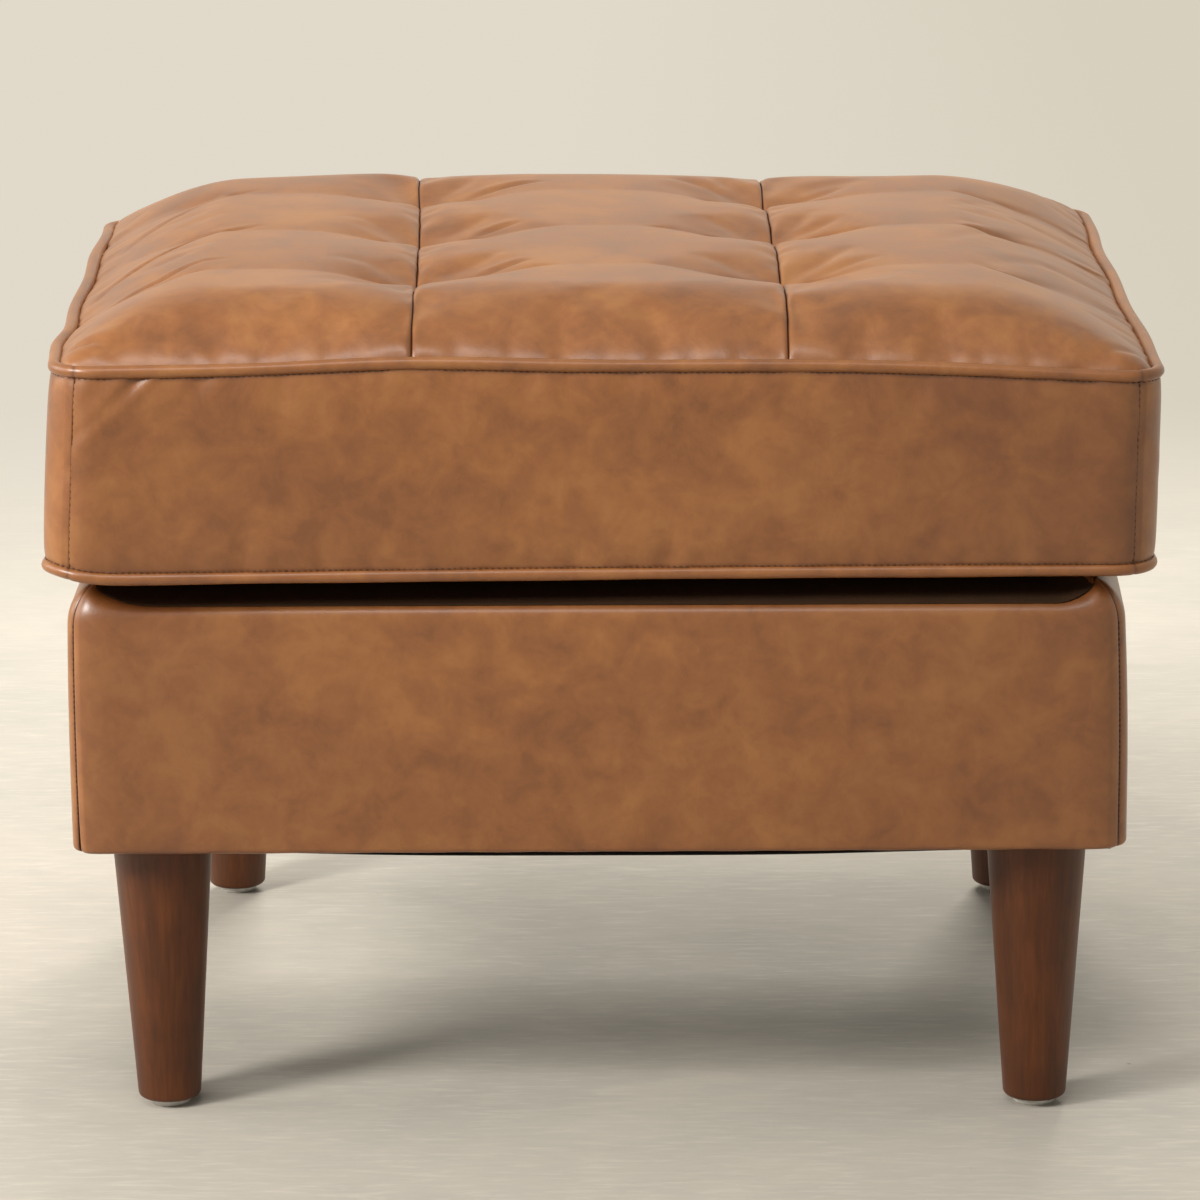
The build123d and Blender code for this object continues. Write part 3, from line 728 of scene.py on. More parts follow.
# slanting folds under the welt beside a corner, in mm: distance from the seam, slant, depth,
# reach downwards and half width
cornerFolds = [
    ("frontLeft", 42, -1.0, 1.3, 24, 9),
    ("frontLeft", 24, -0.6, 0.7, 30, 12),
    ("frontLeft", 80, -1.0, 0.45, 34, 13),
    ("frontRight", -26, 0.8, 0.9, 30, 10),
    ("frontRight", -54, 0.9, 0.45, 26, 12),
]
zipLow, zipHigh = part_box("back_border_lower")[1].z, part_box("back_border_upper")[0].z
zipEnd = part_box("zip_tape")[1].x
zipFold = {
    "depth": 8 * mm,
    "width": 3.4 * mm,
    "closing": 5 * mm,
    "beyond": -3 * mm,
    "pocketBeyond": 17 * mm,  # past the zip's ends a pocket takes the pull
    "pocketHalf": 4.9 * mm,
    "seamDepth": 0.8 * mm,
    "seamWidth": 0.9 * mm,
}


def paintedEndShade(x, kind):
    # painted shade: the hide is painted darker towards the left and right ends of a front
    gap = halfWide - abs(x)
    return np.where(x < 0, *endShade[kind]) * np.exp(-(gap / endShade["reach"]) ** 2)


def zipShare(across, beyond=zipFold["beyond"]):
    # 1 along the zip, falling to 0 where the two strips meet at its ends
    share = np.clip((zipEnd + beyond - abs(across)) / zipFold["closing"], 0, 1)
    return share * share * (3 - 2 * share)


def borderPiece(name, corners, low, high, shift, node, zipSide=0):
    start, end = (seamCorners[corner] for corner in corners)
    end = end if end > start else end + roundLength
    distances = fineSpan(start, end, cushion["gridStep"])
    levels = fineSpan(low, high, cushion["gridStep"])
    rings = np.stack([alongRing(level, distances) for level in wallGrid])
    # past the zip's ends the two strips at the back spread out to meet each other
    spread = ((zipHigh - zipLow) / 2 + 0.2 * mm) * abs(zipSide)
    closed = spread * (1 - zipShare(settle(rings[len(rings) // 2])[:, 0]))
    share = (levels - low) / (high - low) - (zipSide < 0)
    made = np.empty((len(levels), len(distances), 3))
    for column, axis in np.ndindex(made.shape[1:]):
        made[:, column, axis] = np.interp(levels + closed[column] * share, wallLevels,
                                          rings[:, column, axis])
    piece = subdivide(gridPiece(name, made))
    flatX, flatY = np.meshgrid(distances, levels)
    along, level, _ = carried(np.stack([flatX, flatY, flatX * 0], axis=2)).T
    normal = alongRing(ringNormal, along)
    beside, below = np.minimum(along - start, end - along), wallHeight - level
    push = -borderRoll["depth"] * np.exp(-beside / borderRoll["width"])
    # painted shade in the corner seams, and a painted shadow under the top piping and over the
    # lower one
    groove = np.exp(-(beside / borderRoll["groove"]) ** 2)
    stain = np.exp(-(np.minimum(below, level) / borderRoll["weltReach"]) ** 6)
    for corner, away, slant, depth, reach, half in cornerFolds:
        gap = along - seamCorners[corner] - away * mm - slant * below
        fade = np.exp(-below / (reach * mm)) * np.clip(below / (4 * mm), 0, 1)
        push += depth * mm * np.sin(np.clip(gap / (half * mm), -1, 1) * math.pi) * fade
    points = verts(piece.data)
    if zipSide:
        edge = np.maximum(high - level if zipSide > 0 else level - low, 0)
        inFold = np.exp(-(edge / zipFold["width"]) ** 1.6)
        across, rise = settle(points)[:, [0, 2]].T
        opened, pocket = zipShare(across), zipShare(across, zipFold["pocketBeyond"])
        flat = np.exp(-((rise - (zipLow + zipHigh) / 2) / zipFold["pocketHalf"]) ** 4)
        push -= zipFold["depth"] * (inFold * opened + flat * (pocket - opened))
        push -= zipFold["seamDepth"] * inFold * (1 - pocket)
        # painted shade where the two strips meet past the zip's ends
        groove += (1 - opened) * np.exp(-(edge / zipFold["seamWidth"]) ** 2) * 3
    points[:, :2] += normal * push[:, None]
    setVerts(piece, settle(points))
    # painted shade towards the ends of the front and back borders
    endDarkening = paintedEndShade(points[:, 0], "cushion") * (abs(normal[:, 1]) > 0.8)
    setGroove(piece, np.clip(borderRoll["stain"] * groove + endDarkening
                             + borderRoll["weltStain"] * stain, 0, 1))
    leatherPiece(piece, "cushion", shift, 0.75, node)


for side, corners, shift in (("front", ("frontLeft", "frontRight"), (0.4, 0.9, 0.3)),
                             ("right", ("frontRight", "backRight"), (1.4, 0.2, 0.6)),
                             ("left", ("backLeft", "frontLeft"), (2.1, 0.5, 0.9))):
    borderPiece(f"{side}_border_cover", corners, 0, wallHeight, shift, f"{side}_border")
borderPiece("back_lower_border_cover", ("backRight", "backLeft"), 0, zipLow - lowWelt,
            (2.8, 0.7, 0.1), "back_border_lower", zipSide=1)
borderPiece("back_upper_border_cover", ("backRight", "backLeft"), zipHigh - lowWelt, wallHeight,
            (3.3, 0.1, 0.8), "back_border_upper", zipSide=-1)
print("Borders made")

weltLook = {"swell": 0.5 * mm, "sides": 14, "step": 4 * mm, "waver": 0.18 * mm,
            "jointPinch": 0.3 * mm, "jointWidth": 0.9 * mm}


# Piping: a leather tube sewn round the edge, with a joint at each corner seam
def weltPiece(name, level, shift, node):
    marks = sorted(seamCorners.values())
    distances = joinSpans(marks + [marks[0] + roundLength], weltLook["step"])[0][:-1]
    centre, normal = alongRing(ring, distances), alongRing(ringNormal, distances)
    pinch = np.exp(-(markGap(distances, marks, roundLength) / weltLook["jointWidth"]) ** 2)
    waver = weltLook["waver"] * np.sin(distances / (23 * mm)) * np.sin(distances / (61 * mm))
    reach = weltRadius + weltLook["swell"] - weltLook["jointPinch"] * pinch + waver
    points = [np.column_stack([centre + normal * (math.cos(angle) * reach)[:, None],
                               level + math.sin(angle) * reach])
              for angle in 2 * math.pi * np.arange(weltLook["sides"]) / weltLook["sides"]]
    index = numbered((len(points), len(distances)))
    piece = meshPiece(name, settle(np.concatenate(points)),
                      gridFaces(np.concatenate([index, index[:1]]), closed=True))
    # painted shade in the pinch at each joint
    setGroove(piece, np.tile(0.75 * pinch, len(points)))
    leatherPiece(piece, "cushion", shift, None, node)


weltPiece("top_piping", topWelt, (0.2, 1.7, 0.4), "top_welt")
weltPiece("bottom_piping", lowWelt, (0.9, 1.2, 1.4), "bottom_welt")
print("Piping made")


# Underside of the cushion: flat where it rests, turned up to the lower piping at its edge
def underside():
    flatX, flatY = np.meshgrid(*(fineSpan(-half, half, 12 * mm) for half in (halfWide, halfDeep)))
    inside = np.minimum(halfWide - abs(flatX), halfDeep - abs(flatY))
    level = cushionFoot + (lowWelt - cushionFoot) * np.exp(-(inside / (4.5 * mm)) ** 1.5)
    points = np.stack([*planPoint(flatX, flatY), level], axis=2)
    points = settle(points.reshape(-1, 3)).reshape(points.shape)
    piece = subdivide(gridPiece("underside_cover", points, flip=True))
    leatherPiece(piece, "cushion", (1.9, 1.1, 0.7), 0.8, "bottom_panel")


underside()

filling = {"wrapInset": 6 * mm, "wrapThickness": 8 * mm, "coreInset": 15 * mm}


# Foam core and the fibre wrapped round it, shaped by the cover they fill
def innerForm(name, inset):
    # every second row and column of the cover's grids
    whole = numbered(gridX.shape)
    thin = whole[np.ix_(*(np.unique([*range(0, count, 2), count - 1]) for count in whole.shape))]
    outer = ringOf(whole).tolist()
    kept = [outer.index(point) for point in ringOf(thin)]
    walls = wallGrid[:-1:2, kept]
    points = settle(np.concatenate([topGrid.reshape(-1, 3)[thin.ravel()], walls.reshape(-1, 3)]))
    tall = topWelt + crownHeight - cushionFoot
    points[:, :2] *= 1 - inset / np.array([halfWide, halfDeep])
    points[:, 2] = cushionFoot + inset + (points[:, 2] - cushionFoot) * (1 - 2 * inset / tall)
    index = numbered(thin.shape)
    loops = [*(thin.size + numbered(walls.shape)), ringOf(index)]
    points[loops[0], 2] = cushionFoot + inset
    points[:, 1] = np.minimum(points[:, 1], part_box("zip_tape")[0].y - 0.8 * mm)
    faces = gridFaces(index) + gridFaces(loops, closed=True) + [loops[0][::-1].tolist()]
    return meshPiece(name, points, faces)


core = innerForm("foam_filling", filling["coreInset"])
finishPiece(core, "cushion", foam, "foam", "foam_core", fill=0.9)
wrap = thicken(innerForm("fibre_layer", filling["wrapInset"]), filling["wrapThickness"])
finishPiece(wrap, "cushion", fibre, "padding", "upper_fibre_wrap", "lower_fibre_wrap", fill=0.8)
print("Cushion filled")

# Base: box cover in four sides, rounded over at the top and turned under at the hem
baseWide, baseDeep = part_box("right_base_cover")[1].x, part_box("back_base_cover")[1].y
baseFoot, baseTop = (corner.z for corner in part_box("front_base_cover"))
base = {
    "cornerRadius": 17 * mm,
    "topRadius": 24 * mm,  # at the corners
    "edgeRadius": 12 * mm,  # and between them
    "hemRadius": 3 * mm,
    "turnUnder": 24 * mm,
    "deckBorder": 70 * mm,
    "puff": 1.9 * mm,
    "hemDraw": 0.2 * mm,  # the cover is pulled in towards the hem
    "flares": {"left": (2.3 * mm, 3), "right": (3.3 * mm, 1.2)},  # how far the foot stands out
    "hemSink": 1.6 * mm,  # and the left end of the hem sits a little lower
    "sinkReach": 40 * mm,
    "edgeDrop": 11.2 * mm,  # between the corners the front's top edge is pulled down
    "otherDrop": 6 * mm,  # and the other three a little
    "edgeStart": {"side": (26 * mm, 90 * mm, 1.6), "left": (7 * mm, 46 * mm, 2.8),
                  "right": (8 * mm, 26 * mm, 2.0)},
    "hemWave": 0.7 * mm,
    "hemPitch": 46 * mm,
    "waveReach": 13 * mm,
    "waveRise": 6 * mm,
    "seamAngle": 52,  # degrees round the corner from the front or back face
    "seamDepth": 1.3 * mm,
    "seamWidth": 1.6 * mm,
    # width of the painted shade in the corner seams, and strength and reach of the painted shade
    # along the top edge under the cushion
    "seamStain": 0.8 * mm,
    "edgeStain": 0.4,
    "stainReach": 11 * mm,
    "step": 8 * mm,
}

# Where sides and corners meet, as distances round the outline from the middle of the front to
# the right; for each its place across and back, and the way it faces
straightX, straightY = baseWide - base["cornerRadius"], baseDeep - base["cornerRadius"]
quarter = base["cornerRadius"] * math.pi / 2
outline = np.cumsum([0, straightX, quarter, 2 * straightY, quarter, 2 * straightX, quarter,
                     2 * straightY, quarter, straightX])
outlineAcross = (0, 1, 1, 1, 1, -1, -1, -1, -1, 0)
outlineBack = (-1, -1, -1, 1, 1, 1, 1, -1, -1, -1)
outlineTurn = np.array([-1, -1, 0, 0, 1, 1, 2, 2, 3, 3]) * math.pi / 2
baseLength = outline[-1]
baseMarks = outline[[1, 4, 5, 8]] + quarter * base["seamAngle"] / 90 * np.array([1, -1, 1, -1])
cornerMarks = outline[[1, 3, 5, 7]] + quarter / 2


def basePoint(distance, inset, level):
    # places on the cover, and the directions that they face
    distance, inset, level = np.broadcast_arrays(distance, inset, level)
    across, back, turn = (np.interp(distance % baseLength, outline, row)
                          for row in (outlineAcross, outlineBack, outlineTurn))
    small = np.maximum(base["cornerRadius"] - inset, 1.5 * mm)
    normal = np.stack([np.cos(turn), np.sin(turn), turn * 0], axis=-1)
    middle = np.stack([across * (baseWide - inset - small), back * (baseDeep - inset - small),
                       level], axis=-1)
    return middle + normal * small[..., None], normal


def coverProfile():
    # inset and level from the turned-under edge, over the hem and up to the deck
    hem, top = base["hemRadius"], base["topRadius"]
    under, over = (np.linspace(0, math.pi / 2, count) for count in (7, 11))
    upright = fineSpan(baseFoot + hem, baseTop - top, base["step"])[2:-1]
    deck = np.linspace(top, base["deckBorder"], 8)[1:]
    return np.concatenate([
        [(base["turnUnder"], baseFoot), (14 * mm, baseFoot), (9 * mm, baseFoot)],
        np.column_stack([hem - hem * np.sin(under), baseFoot + hem - hem * np.cos(under)]),
        np.column_stack([upright * 0, upright]),
        np.column_stack([top - top * np.cos(over), baseTop - top + top * np.sin(over)]),
        np.column_stack([deck, np.full(len(deck), baseTop)])])


def dropShare(along):
    # 0 at the corners, 1 along the edge between them; the right corners are shorter
    gap, place = markGap(along, cornerMarks, baseLength), np.mod(along, baseLength)
    side, left, right = (1 - (1 - np.clip((gap - start) / reach, 0, 1)) ** power
                         for start, reach, power in base["edgeStart"].values())
    onSide = np.searchsorted(cornerMarks, place) % 2 == 1
    return np.where(onSide, side, np.where(place < baseLength / 2, right, left))


def edgeRadius(along):
    return base["topRadius"] - (base["topRadius"] - base["edgeRadius"]) * dropShare(along)


def edgeDrop(along, level, inset):
    high = np.clip((level - (baseTop - 45 * mm)) / (45 * mm), 0, 1)
    back = np.clip((base["deckBorder"] - inset) / (base["deckBorder"] - 12 * mm), 0, 1)
    place = np.mod(along, baseLength)
    ahead = (place < cornerMarks[0]) | (place > cornerMarks[3])
    deep = np.where(ahead, base["edgeDrop"], base["otherDrop"])
    return deep * dropShare(along) * high ** 1.6 * back ** 1.3


def tighter(along, level, inset):
    # how far outwards the rolled edge stands where its radius is smaller than at the corners
    radius = edgeRadius(along)
    above = np.clip(level - baseTop + radius, 0, radius)
    rolled = inset - (radius - np.sqrt(radius ** 2 - above ** 2))
    fade = np.clip((base["deckBorder"] - inset) / (base["deckBorder"] - base["topRadius"]), 0, 1)
    onDeck = inset > base["topRadius"] - 0.2 * mm
    spare = np.where(onDeck, (base["topRadius"] - radius) * fade, rolled)
    return np.where(level > baseTop - 60 * mm, np.maximum(spare, 0), 0)


def baseStand(height, sideward):
    # how far the cover stands out from the box, at a share of its height
    stand = base["puff"] * np.sin(math.pi * height) ** 0.8 - base["hemDraw"] * (1 - height) ** 2
    for side, toward in (("left", -sideward), ("right", sideward)):
        flare, power = base["flares"][side]
        stand = stand + flare * (1 - height) ** power * np.clip(toward, 0, 1)
    return stand


def baseCover(name, start, end, shift, node):
    along = fineSpan(start, end, base["step"])
    wide, level = coverProfile().T[..., None]
    inset = wide - tighter(along, level, wide)
    places, normal = basePoint(along, inset, level)
    piece = subdivide(gridPiece(name, places))
    along, level, inset = carried(np.stack(np.broadcast_arrays(along, level, inset), axis=2)).T
    normal, points = carried(normal), verts(piece.data)
    rise, beside = level - baseFoot, np.minimum(along - start, end - along)
    wave = base["hemWave"] * np.sin(2 * math.pi * along / base["hemPitch"]
                                    + 1.3 * np.sin(along / (83 * mm)))
    push = baseStand(np.clip(rise / (baseTop - baseFoot), 0, 1), normal[:, 0])
    push -= base["seamDepth"] * np.exp(-beside / base["seamWidth"])
    push += wave * np.exp(-rise / base["waveReach"])
    points += normal * (push * (inset <= base["topRadius"]))[:, None]
    points[:, 2] += 0.5 * wave * np.exp(-rise / base["waveRise"]) - edgeDrop(along, level, inset)
    leftShare = np.clip(0.5 - points[:, 0] / baseWide / 2, 0, 1)
    points[:, 2] -= base["hemSink"] * leftShare * np.exp(-rise / base["sinkReach"])
    setVerts(piece, points)
    # painted shade in the corner seams
    groove = np.exp(-(beside / base["seamStain"]) ** 2)
    # painted shade towards the ends of the base's front and back
    groove += paintedEndShade(points[:, 0], "base") * (abs(normal[:, 1]) > 0.8)
    # painted shade along the top edge, under the cushion's overhang
    nearTop = np.clip(1 - (baseTop - level) / base["stainReach"], 0, 1)
    groove += base["edgeStain"] * nearTop * dropShare(along)
    setGroove(piece, np.clip(groove, 0, 1))
    leatherPiece(piece, "base", shift, 0.85, node)


# the four sides, with the place of each in the hide's pattern, and the seams between them
baseSides = {"front": (0.6, 2.2, 0.5), "right": (1.2, 2.9, 0.2), "back": (1.8, 2.4, 0.9),
             "left": (2.6, 2.7, 0.4)}
baseEnds = [baseMarks[3] - baseLength, *baseMarks]
for side, start, end in zip(baseSides, baseEnds, baseEnds[1:]):
    baseCover(f"{side}_base_leather", start, end, baseSides[side], f"{side}_base_cover")
print("Base covers made")

basePads = {"inset": 2.6 * mm, "thickness": 4.6 * mm, "rounding": 4 * mm, "draw": 1.0 * mm}


# Thin foam round the frame and the pad on top of it, under the leather
def sidePad(side, start, end):
    low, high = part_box(side + "_side_pad")
    inset, rounding = basePads["inset"], basePads["rounding"]
    turn = np.linspace(0, math.pi / 2, 5)
    upright = np.linspace(low.z + 2 * rounding, high.z - rounding, 12)
    insets = np.array([*(inset + rounding - rounding * np.sin(turn)), *(upright * 0 + inset),
                       inset + 1 * mm])[:, None]
    levels = np.array([*(low.z + rounding - rounding * np.cos(turn)), *upright,
                       high.z])[:, None]
    drawn = insets + basePads["draw"] * (1 - (levels - baseFoot) / (baseTop - baseFoot)) ** 2
    points = basePoint(np.linspace(start, end, 60), drawn, levels)[0]
    piece = thicken(gridPiece(side + "_side_padding", points), basePads["thickness"])
    finishPiece(piece, "base", foam, "foam", side + "_side_pad", fill=0.9)


def topPad():
    low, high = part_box("base_top_pad")
    top, inset = base["topRadius"], basePads["inset"]
    rounding = top - inset
    first = math.asin((low.z + 4 * mm - high.z + rounding) / rounding)
    turn = np.linspace(first, math.pi / 2, 8)[:-1]
    insets = np.array([inset + 3 * mm, inset + 0.4 * mm, *(top - rounding * np.cos(turn)), top,
                       30 * mm, 50 * mm, 75 * mm])[:, None]
    levels = np.array([low.z, low.z + 2 * mm, *(high.z - rounding + rounding * np.sin(turn)),
                       *[high.z - 0.3 * mm] * 4])[:, None]
    around = np.linspace(0, baseLength, 240, endpoint=False)
    levels = levels - np.minimum(edgeDrop(around, levels, insets), levels - low.z)
    piece = gridPiece("base_top_padding", basePoint(around, insets, levels)[0], closed=True,
                      caps=(0, -1))
    finishPiece(piece, "base", foam, "foam", "base_top_pad", fill=0.9)


for side, start, end in zip(baseSides, baseEnds, baseEnds[1:]):
    sidePad(side, start, end)
topPad()
print("Base padding made")

stitchLook = {"pitch": 3.7 * mm, "width": 0.8 * mm, "height": 0.6 * mm}
rowSizes = ("Pitch", "Length", "Width", "Height")


# Geometry nodes that lay one stitch after another along the seam lines
def stitchTree(name, material, boxy=False):
    tree = bpy.data.node_groups.new(name, "GeometryNodeTree")
    sockets = tree.interface
    sockets.new_socket("Seams", in_out="INPUT", socket_type="NodeSocketGeometry")
    for label in rowSizes:
        sockets.new_socket(label, in_out="INPUT", socket_type="NodeSocketFloat")
    sockets.new_socket("Stitches", in_out="OUTPUT", socket_type="NodeSocketGeometry")
    given = addNode(tree, "NodeGroupInput").node.outputs
    curve = addNode(tree, "GeometryNodeMeshToCurve", {"Mesh": given["Seams"]})
    spaced = addNode(tree, "GeometryNodeResampleCurve",
                     {"Curve": curve, "Length": given["Pitch"]}, mode="LENGTH")
    if boxy:
        unit = addNode(tree, "GeometryNodeMeshCube")
    else:
        unit = addNode(tree, "GeometryNodeMeshUVSphere",
                       {"Segments": 6, "Rings": 4, "Radius": 0.5})
    size = addNode(tree, "ShaderNodeCombineXYZ",
                   {"X": given["Length"], "Y": given["Width"], "Z": given["Height"]})
    stitch = addNode(tree, "GeometryNodeTransform", {"Geometry": unit, "Scale": size})
    along = addNode(tree, "GeometryNodeInputTangent")
    turn = addNode(tree, "FunctionNodeAlignRotationToVector", {"Vector": along}, axis="X")
    uneven = addNode(tree, "FunctionNodeRandomValue", {2: 0.88, 3: 1.08, "Seed": 7}, 1,
                     data_type="FLOAT")
    laid = addNode(tree, "GeometryNodeInstanceOnPoints", {
        "Points": spaced, "Instance": stitch, "Rotation": turn, "Scale": uneven})
    real = addNode(tree, "GeometryNodeRealizeInstances", {"Geometry": laid})
    shaded = addNode(tree, "GeometryNodeSetShadeSmooth", {"Geometry": real})
    dyed = addNode(tree, "GeometryNodeSetMaterial", {"Material": material, "Geometry": shaded})
    addNode(tree, "NodeGroupOutput", {"Stitches": dyed})
    return tree


stitches = stitchTree("SeamStitches", darkThread)
staples = stitchTree("ClothStaples", steel, True)
coils = stitchTree("ZipCoils", zipPlastic)


def rowAlong(name, lines, body, slot, tree, material, sizes, *nodes):
    # a row of small parts along each line; sizes are their pitch, length, width and height
    points, edges = [], []
    for line in lines:
        first = len(points)
        points += list(line)
        edges += [(i, i + 1) for i in range(first, len(points) - 1)]
    piece = meshPiece(name, points, [], edges)
    layer = piece.modifiers.new("Stitches", "NODES")
    layer.node_group = tree
    values = dict(zip(rowSizes, sizes))
    for item in tree.interface.items_tree:
        if item.name in values:
            layer[item.identifier] = values[item.name]
    return finishPiece(settled(piece), body, material, slot, *nodes)


def stitchLines(name, lines, body, pitch, share=0.7):
    sizes = (pitch, pitch * share, stitchLook["width"], stitchLook["height"])
    rowAlong(name, lines, body, "twine", stitches, darkThread, sizes)


def weltLine(level, stand):
    distances = np.arange(0, roundLength, 3 * mm)
    flat = alongRing(ring, distances) + alongRing(ringNormal, distances) * stand
    return settle(np.column_stack([flat, np.full(len(flat), level)]))


def cornerLine(mark):
    levels = np.arange(5 * mm, wallHeight - 4 * mm, 2 * mm)
    stand = wallOffset(levels / wallHeight, wallHeight) - borderRoll["depth"] * 0.3
    flat = alongRing(ring, mark) + alongRing(ringNormal, mark) * stand[:, None]
    return settle(np.column_stack([flat, lowWelt + levels]))


def baseLine(mark):
    levels = np.arange(baseFoot + base["hemRadius"], baseTop - base["topRadius"], 2 * mm)
    places, normal = basePoint(mark, 0, levels)
    stand = baseStand((levels - baseFoot) / (baseTop - baseFoot), normal[:, 0]) - 0.7 * mm
    return places + normal * stand[:, None]


stitchLines("cushion_welt_stitches", [weltLine(topWelt - 3.7 * mm, 1.0 * mm),
                                      weltLine(lowWelt + 3.8 * mm, 1.4 * mm)], "cushion", 3.4 * mm)
stitchLines("cushion_corner_stitches", [cornerLine(mark) for mark in seamCorners.values()],
            "cushion", stitchLook["pitch"], 0.5)
stitchLines("base_corner_stitches", [baseLine(mark) for mark in baseMarks], "base", 3 * mm, 0.6)
print("Stitches made")

dustLook = {"sag": 3.2 * mm, "sagReach": 175 * mm, "stapleInset": 9 * mm, "staplePitch": 38 * mm,
            "staple": (10 * mm, 1.1 * mm, 0.7 * mm), "legClear": 60 * mm, "ripple": 0.1 * mm}
deckLook = {"thickness": 0.5 * mm, "lift": 0.9 * mm, "cornerInset": 11 * mm}


def dustSag(x, y):
    # the dust cloth hangs a little in the middle, also at its front edge
    backward = np.clip((baseDeep - y) / (120 * mm), 0, 1)
    return dustLook["sag"] * np.exp(-(x / dustLook["sagReach"]) ** 4) * backward


# Flat cloths: the dust cloth under the base and the hessian over its webbing
def clothSheet(name, node, material, slot, sagging):
    low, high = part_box(node)
    x, y = np.meshgrid(np.linspace(low.x, high.x, 60), np.linspace(low.y, high.y, 52))
    edge = np.minimum(high.x - abs(x), high.y - abs(y))
    ripple = np.sin(x / (31 * mm)) * np.sin(y / (37 * mm)) * np.clip(edge / (20 * mm), 0, 1)
    z = (low.z + high.z) / 2 + dustLook["ripple"] * ripple - sagging * dustSag(x, y)
    piece = gridPiece(name, np.stack([x, y, z], axis=2))
    finishPiece(thicken(piece, (high.z - low.z) * 0.6, 0), "base", material, slot, node)


# Black cloth over the deck, laid out to where the leather rolls over the edge, so that its dark
# also stands in for the shade in the gap under the cushion
def deckCloth():
    rings = np.array([3, 4, 5.5, 7, 9, 12, 15, 18, 24, 32, 44, 58, 72, 100, 140, 190, 240]) * mm
    around = np.linspace(0, baseLength, 720, endpoint=False)
    top = edgeRadius(around)
    # near the corners the cloth ends further in
    insets = np.maximum(rings[:, None],
                        rings[0] + deckLook["cornerInset"] * (1 - dropShare(around)))
    falls = top - np.sqrt(top ** 2 - np.maximum(top - insets, 0) ** 2)
    levels = baseTop - falls + deckLook["lift"]
    levels = levels - edgeDrop(around, levels, insets)
    piece = gridPiece("deck_fabric", basePoint(around, insets, levels)[0], closed=True,
                      caps=(-1,))
    thicken(piece, deckLook["thickness"], 0)
    finishPiece(piece, "base", deckFabric, "dust_cloth", "deck_cloth")


deckCloth()
clothSheet("dust_cloth", "dust_cover", blackFelt, "dust_cloth", True)
clothSheet("hessian_cloth", "hessian_sheet", hessian, "webbing_cloth", False)


def stapleLines():
    low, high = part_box("dust_cover")
    right, back = high.x - dustLook["stapleInset"], high.y - dustLook["stapleInset"]
    corners = np.array([(-right, -back), (right, -back), (right, back), (-right, back)])
    clear = dustLook["legClear"]
    lines = []
    for start, end in zip(corners, np.roll(corners, -1, axis=0)):
        x, y = (start + (end - start) * np.linspace(0.04, 0.96, 40)[:, None]).T
        keep = (abs(x) < right - clear) | (abs(y) < back - clear)
        lines.append(np.column_stack([x, y, low.z - dustSag(x, y)])[keep])
    return lines


rowAlong("dust_cloth_staples", stapleLines(), "base", "bright_steel", staples, steel,
         (dustLook["staplePitch"], *dustLook["staple"]))
print("Cloths made")

zipLook = {"pitch": 2.2 * mm, "coil": (1.3 * mm, 2.2 * mm, 4.2 * mm)}
twineLook = {"thickness": 1.1 * mm, "apart": 0.9 * mm, "sunk": 2.4 * mm}


# Nylon coil zip, and the doubled twines that hold the tufts down
def zipCoils():
    low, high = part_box("zip_chain")
    middle = (low + high) / 2
    line = [(x, middle.y, middle.z) for x in np.linspace(low.x + 1 * mm, high.x - 1 * mm, 80)]
    rowAlong("zip_coils", [line], "cushion", "zip_plastic", coils, zipPlastic,
             (zipLook["pitch"], *zipLook["coil"]), "zip_chain")


def tuftTwines():
    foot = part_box("tuft_toggles")[1].z - 0.5 * mm
    radius, turns = twineLook["thickness"] / 2, np.arange(6) * math.pi / 3
    share = np.linspace(0, 1, 9)[:, None]
    points, faces = [], []
    for column in columnMarks[1:3]:
        for x, y, z in topGrid[rowMarks[1:4], column]:
            tall = z - panelEdge["rollDepth"] - twineLook["sunk"] - foot
            for side in (-1, 1):
                spread = side * twineLook["apart"] * (1 - 0.4 * share)
                index = numbered((9, 6)) + 54 * len(points)
                points.append(np.stack(np.broadcast_arrays(
                    x + spread + radius * np.cos(turns), y + radius * np.sin(turns),
                    foot + tall * share), axis=2))
                faces += gridFaces(index, closed=True)
                faces += [index[0][::-1].tolist(), index[-1].tolist()]
    piece = meshPiece("tuft_twines", settle(np.reshape(points, (-1, 3))), faces)
    finishPiece(piece, "cushion", waxedTwine, "twine", "tuft_ties")


zipCoils()
tuftTwines()
print("Zip and twines made")

# Better materials for the construction's own pieces
nodeMaterials = {name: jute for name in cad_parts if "webbing" in name}
for number, corner in enumerate(("front_left", "front_right", "back_left", "back_right")):
    low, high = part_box(corner + "_leg")
    middle = (low + high) / 2
    shift = (-middle.x + 0.11 * number, -middle.y + 0.07 * number, 0.3 * number)
    nodeMaterials[corner + "_leg"] = stainedBeech(f"BeechLeg{number + 1}", woodLook, shift)
    nodeMaterials[corner + "_glide"] = glidePlastic
    nodeMaterials[corner + "_corner_block"] = stainedBeech(
        f"PineBlock{number + 1}", frameLook, (0.2 * number, 0, 0), roughness=0.7, coat=0.0)
for number, side in enumerate(("front", "back", "left", "right")):
    turn = (0, math.pi / 2, 0) if number < 2 else (math.pi / 2, 0, 0)
    nodeMaterials[side + "_rail"] = stainedBeech(f"PineRail{number + 1}", frameLook,
                                                 (0.3 * number, 0.1, 0), turn, 0.7, 0.0)
    nodeMaterials[side + "_side_pad"] = foam
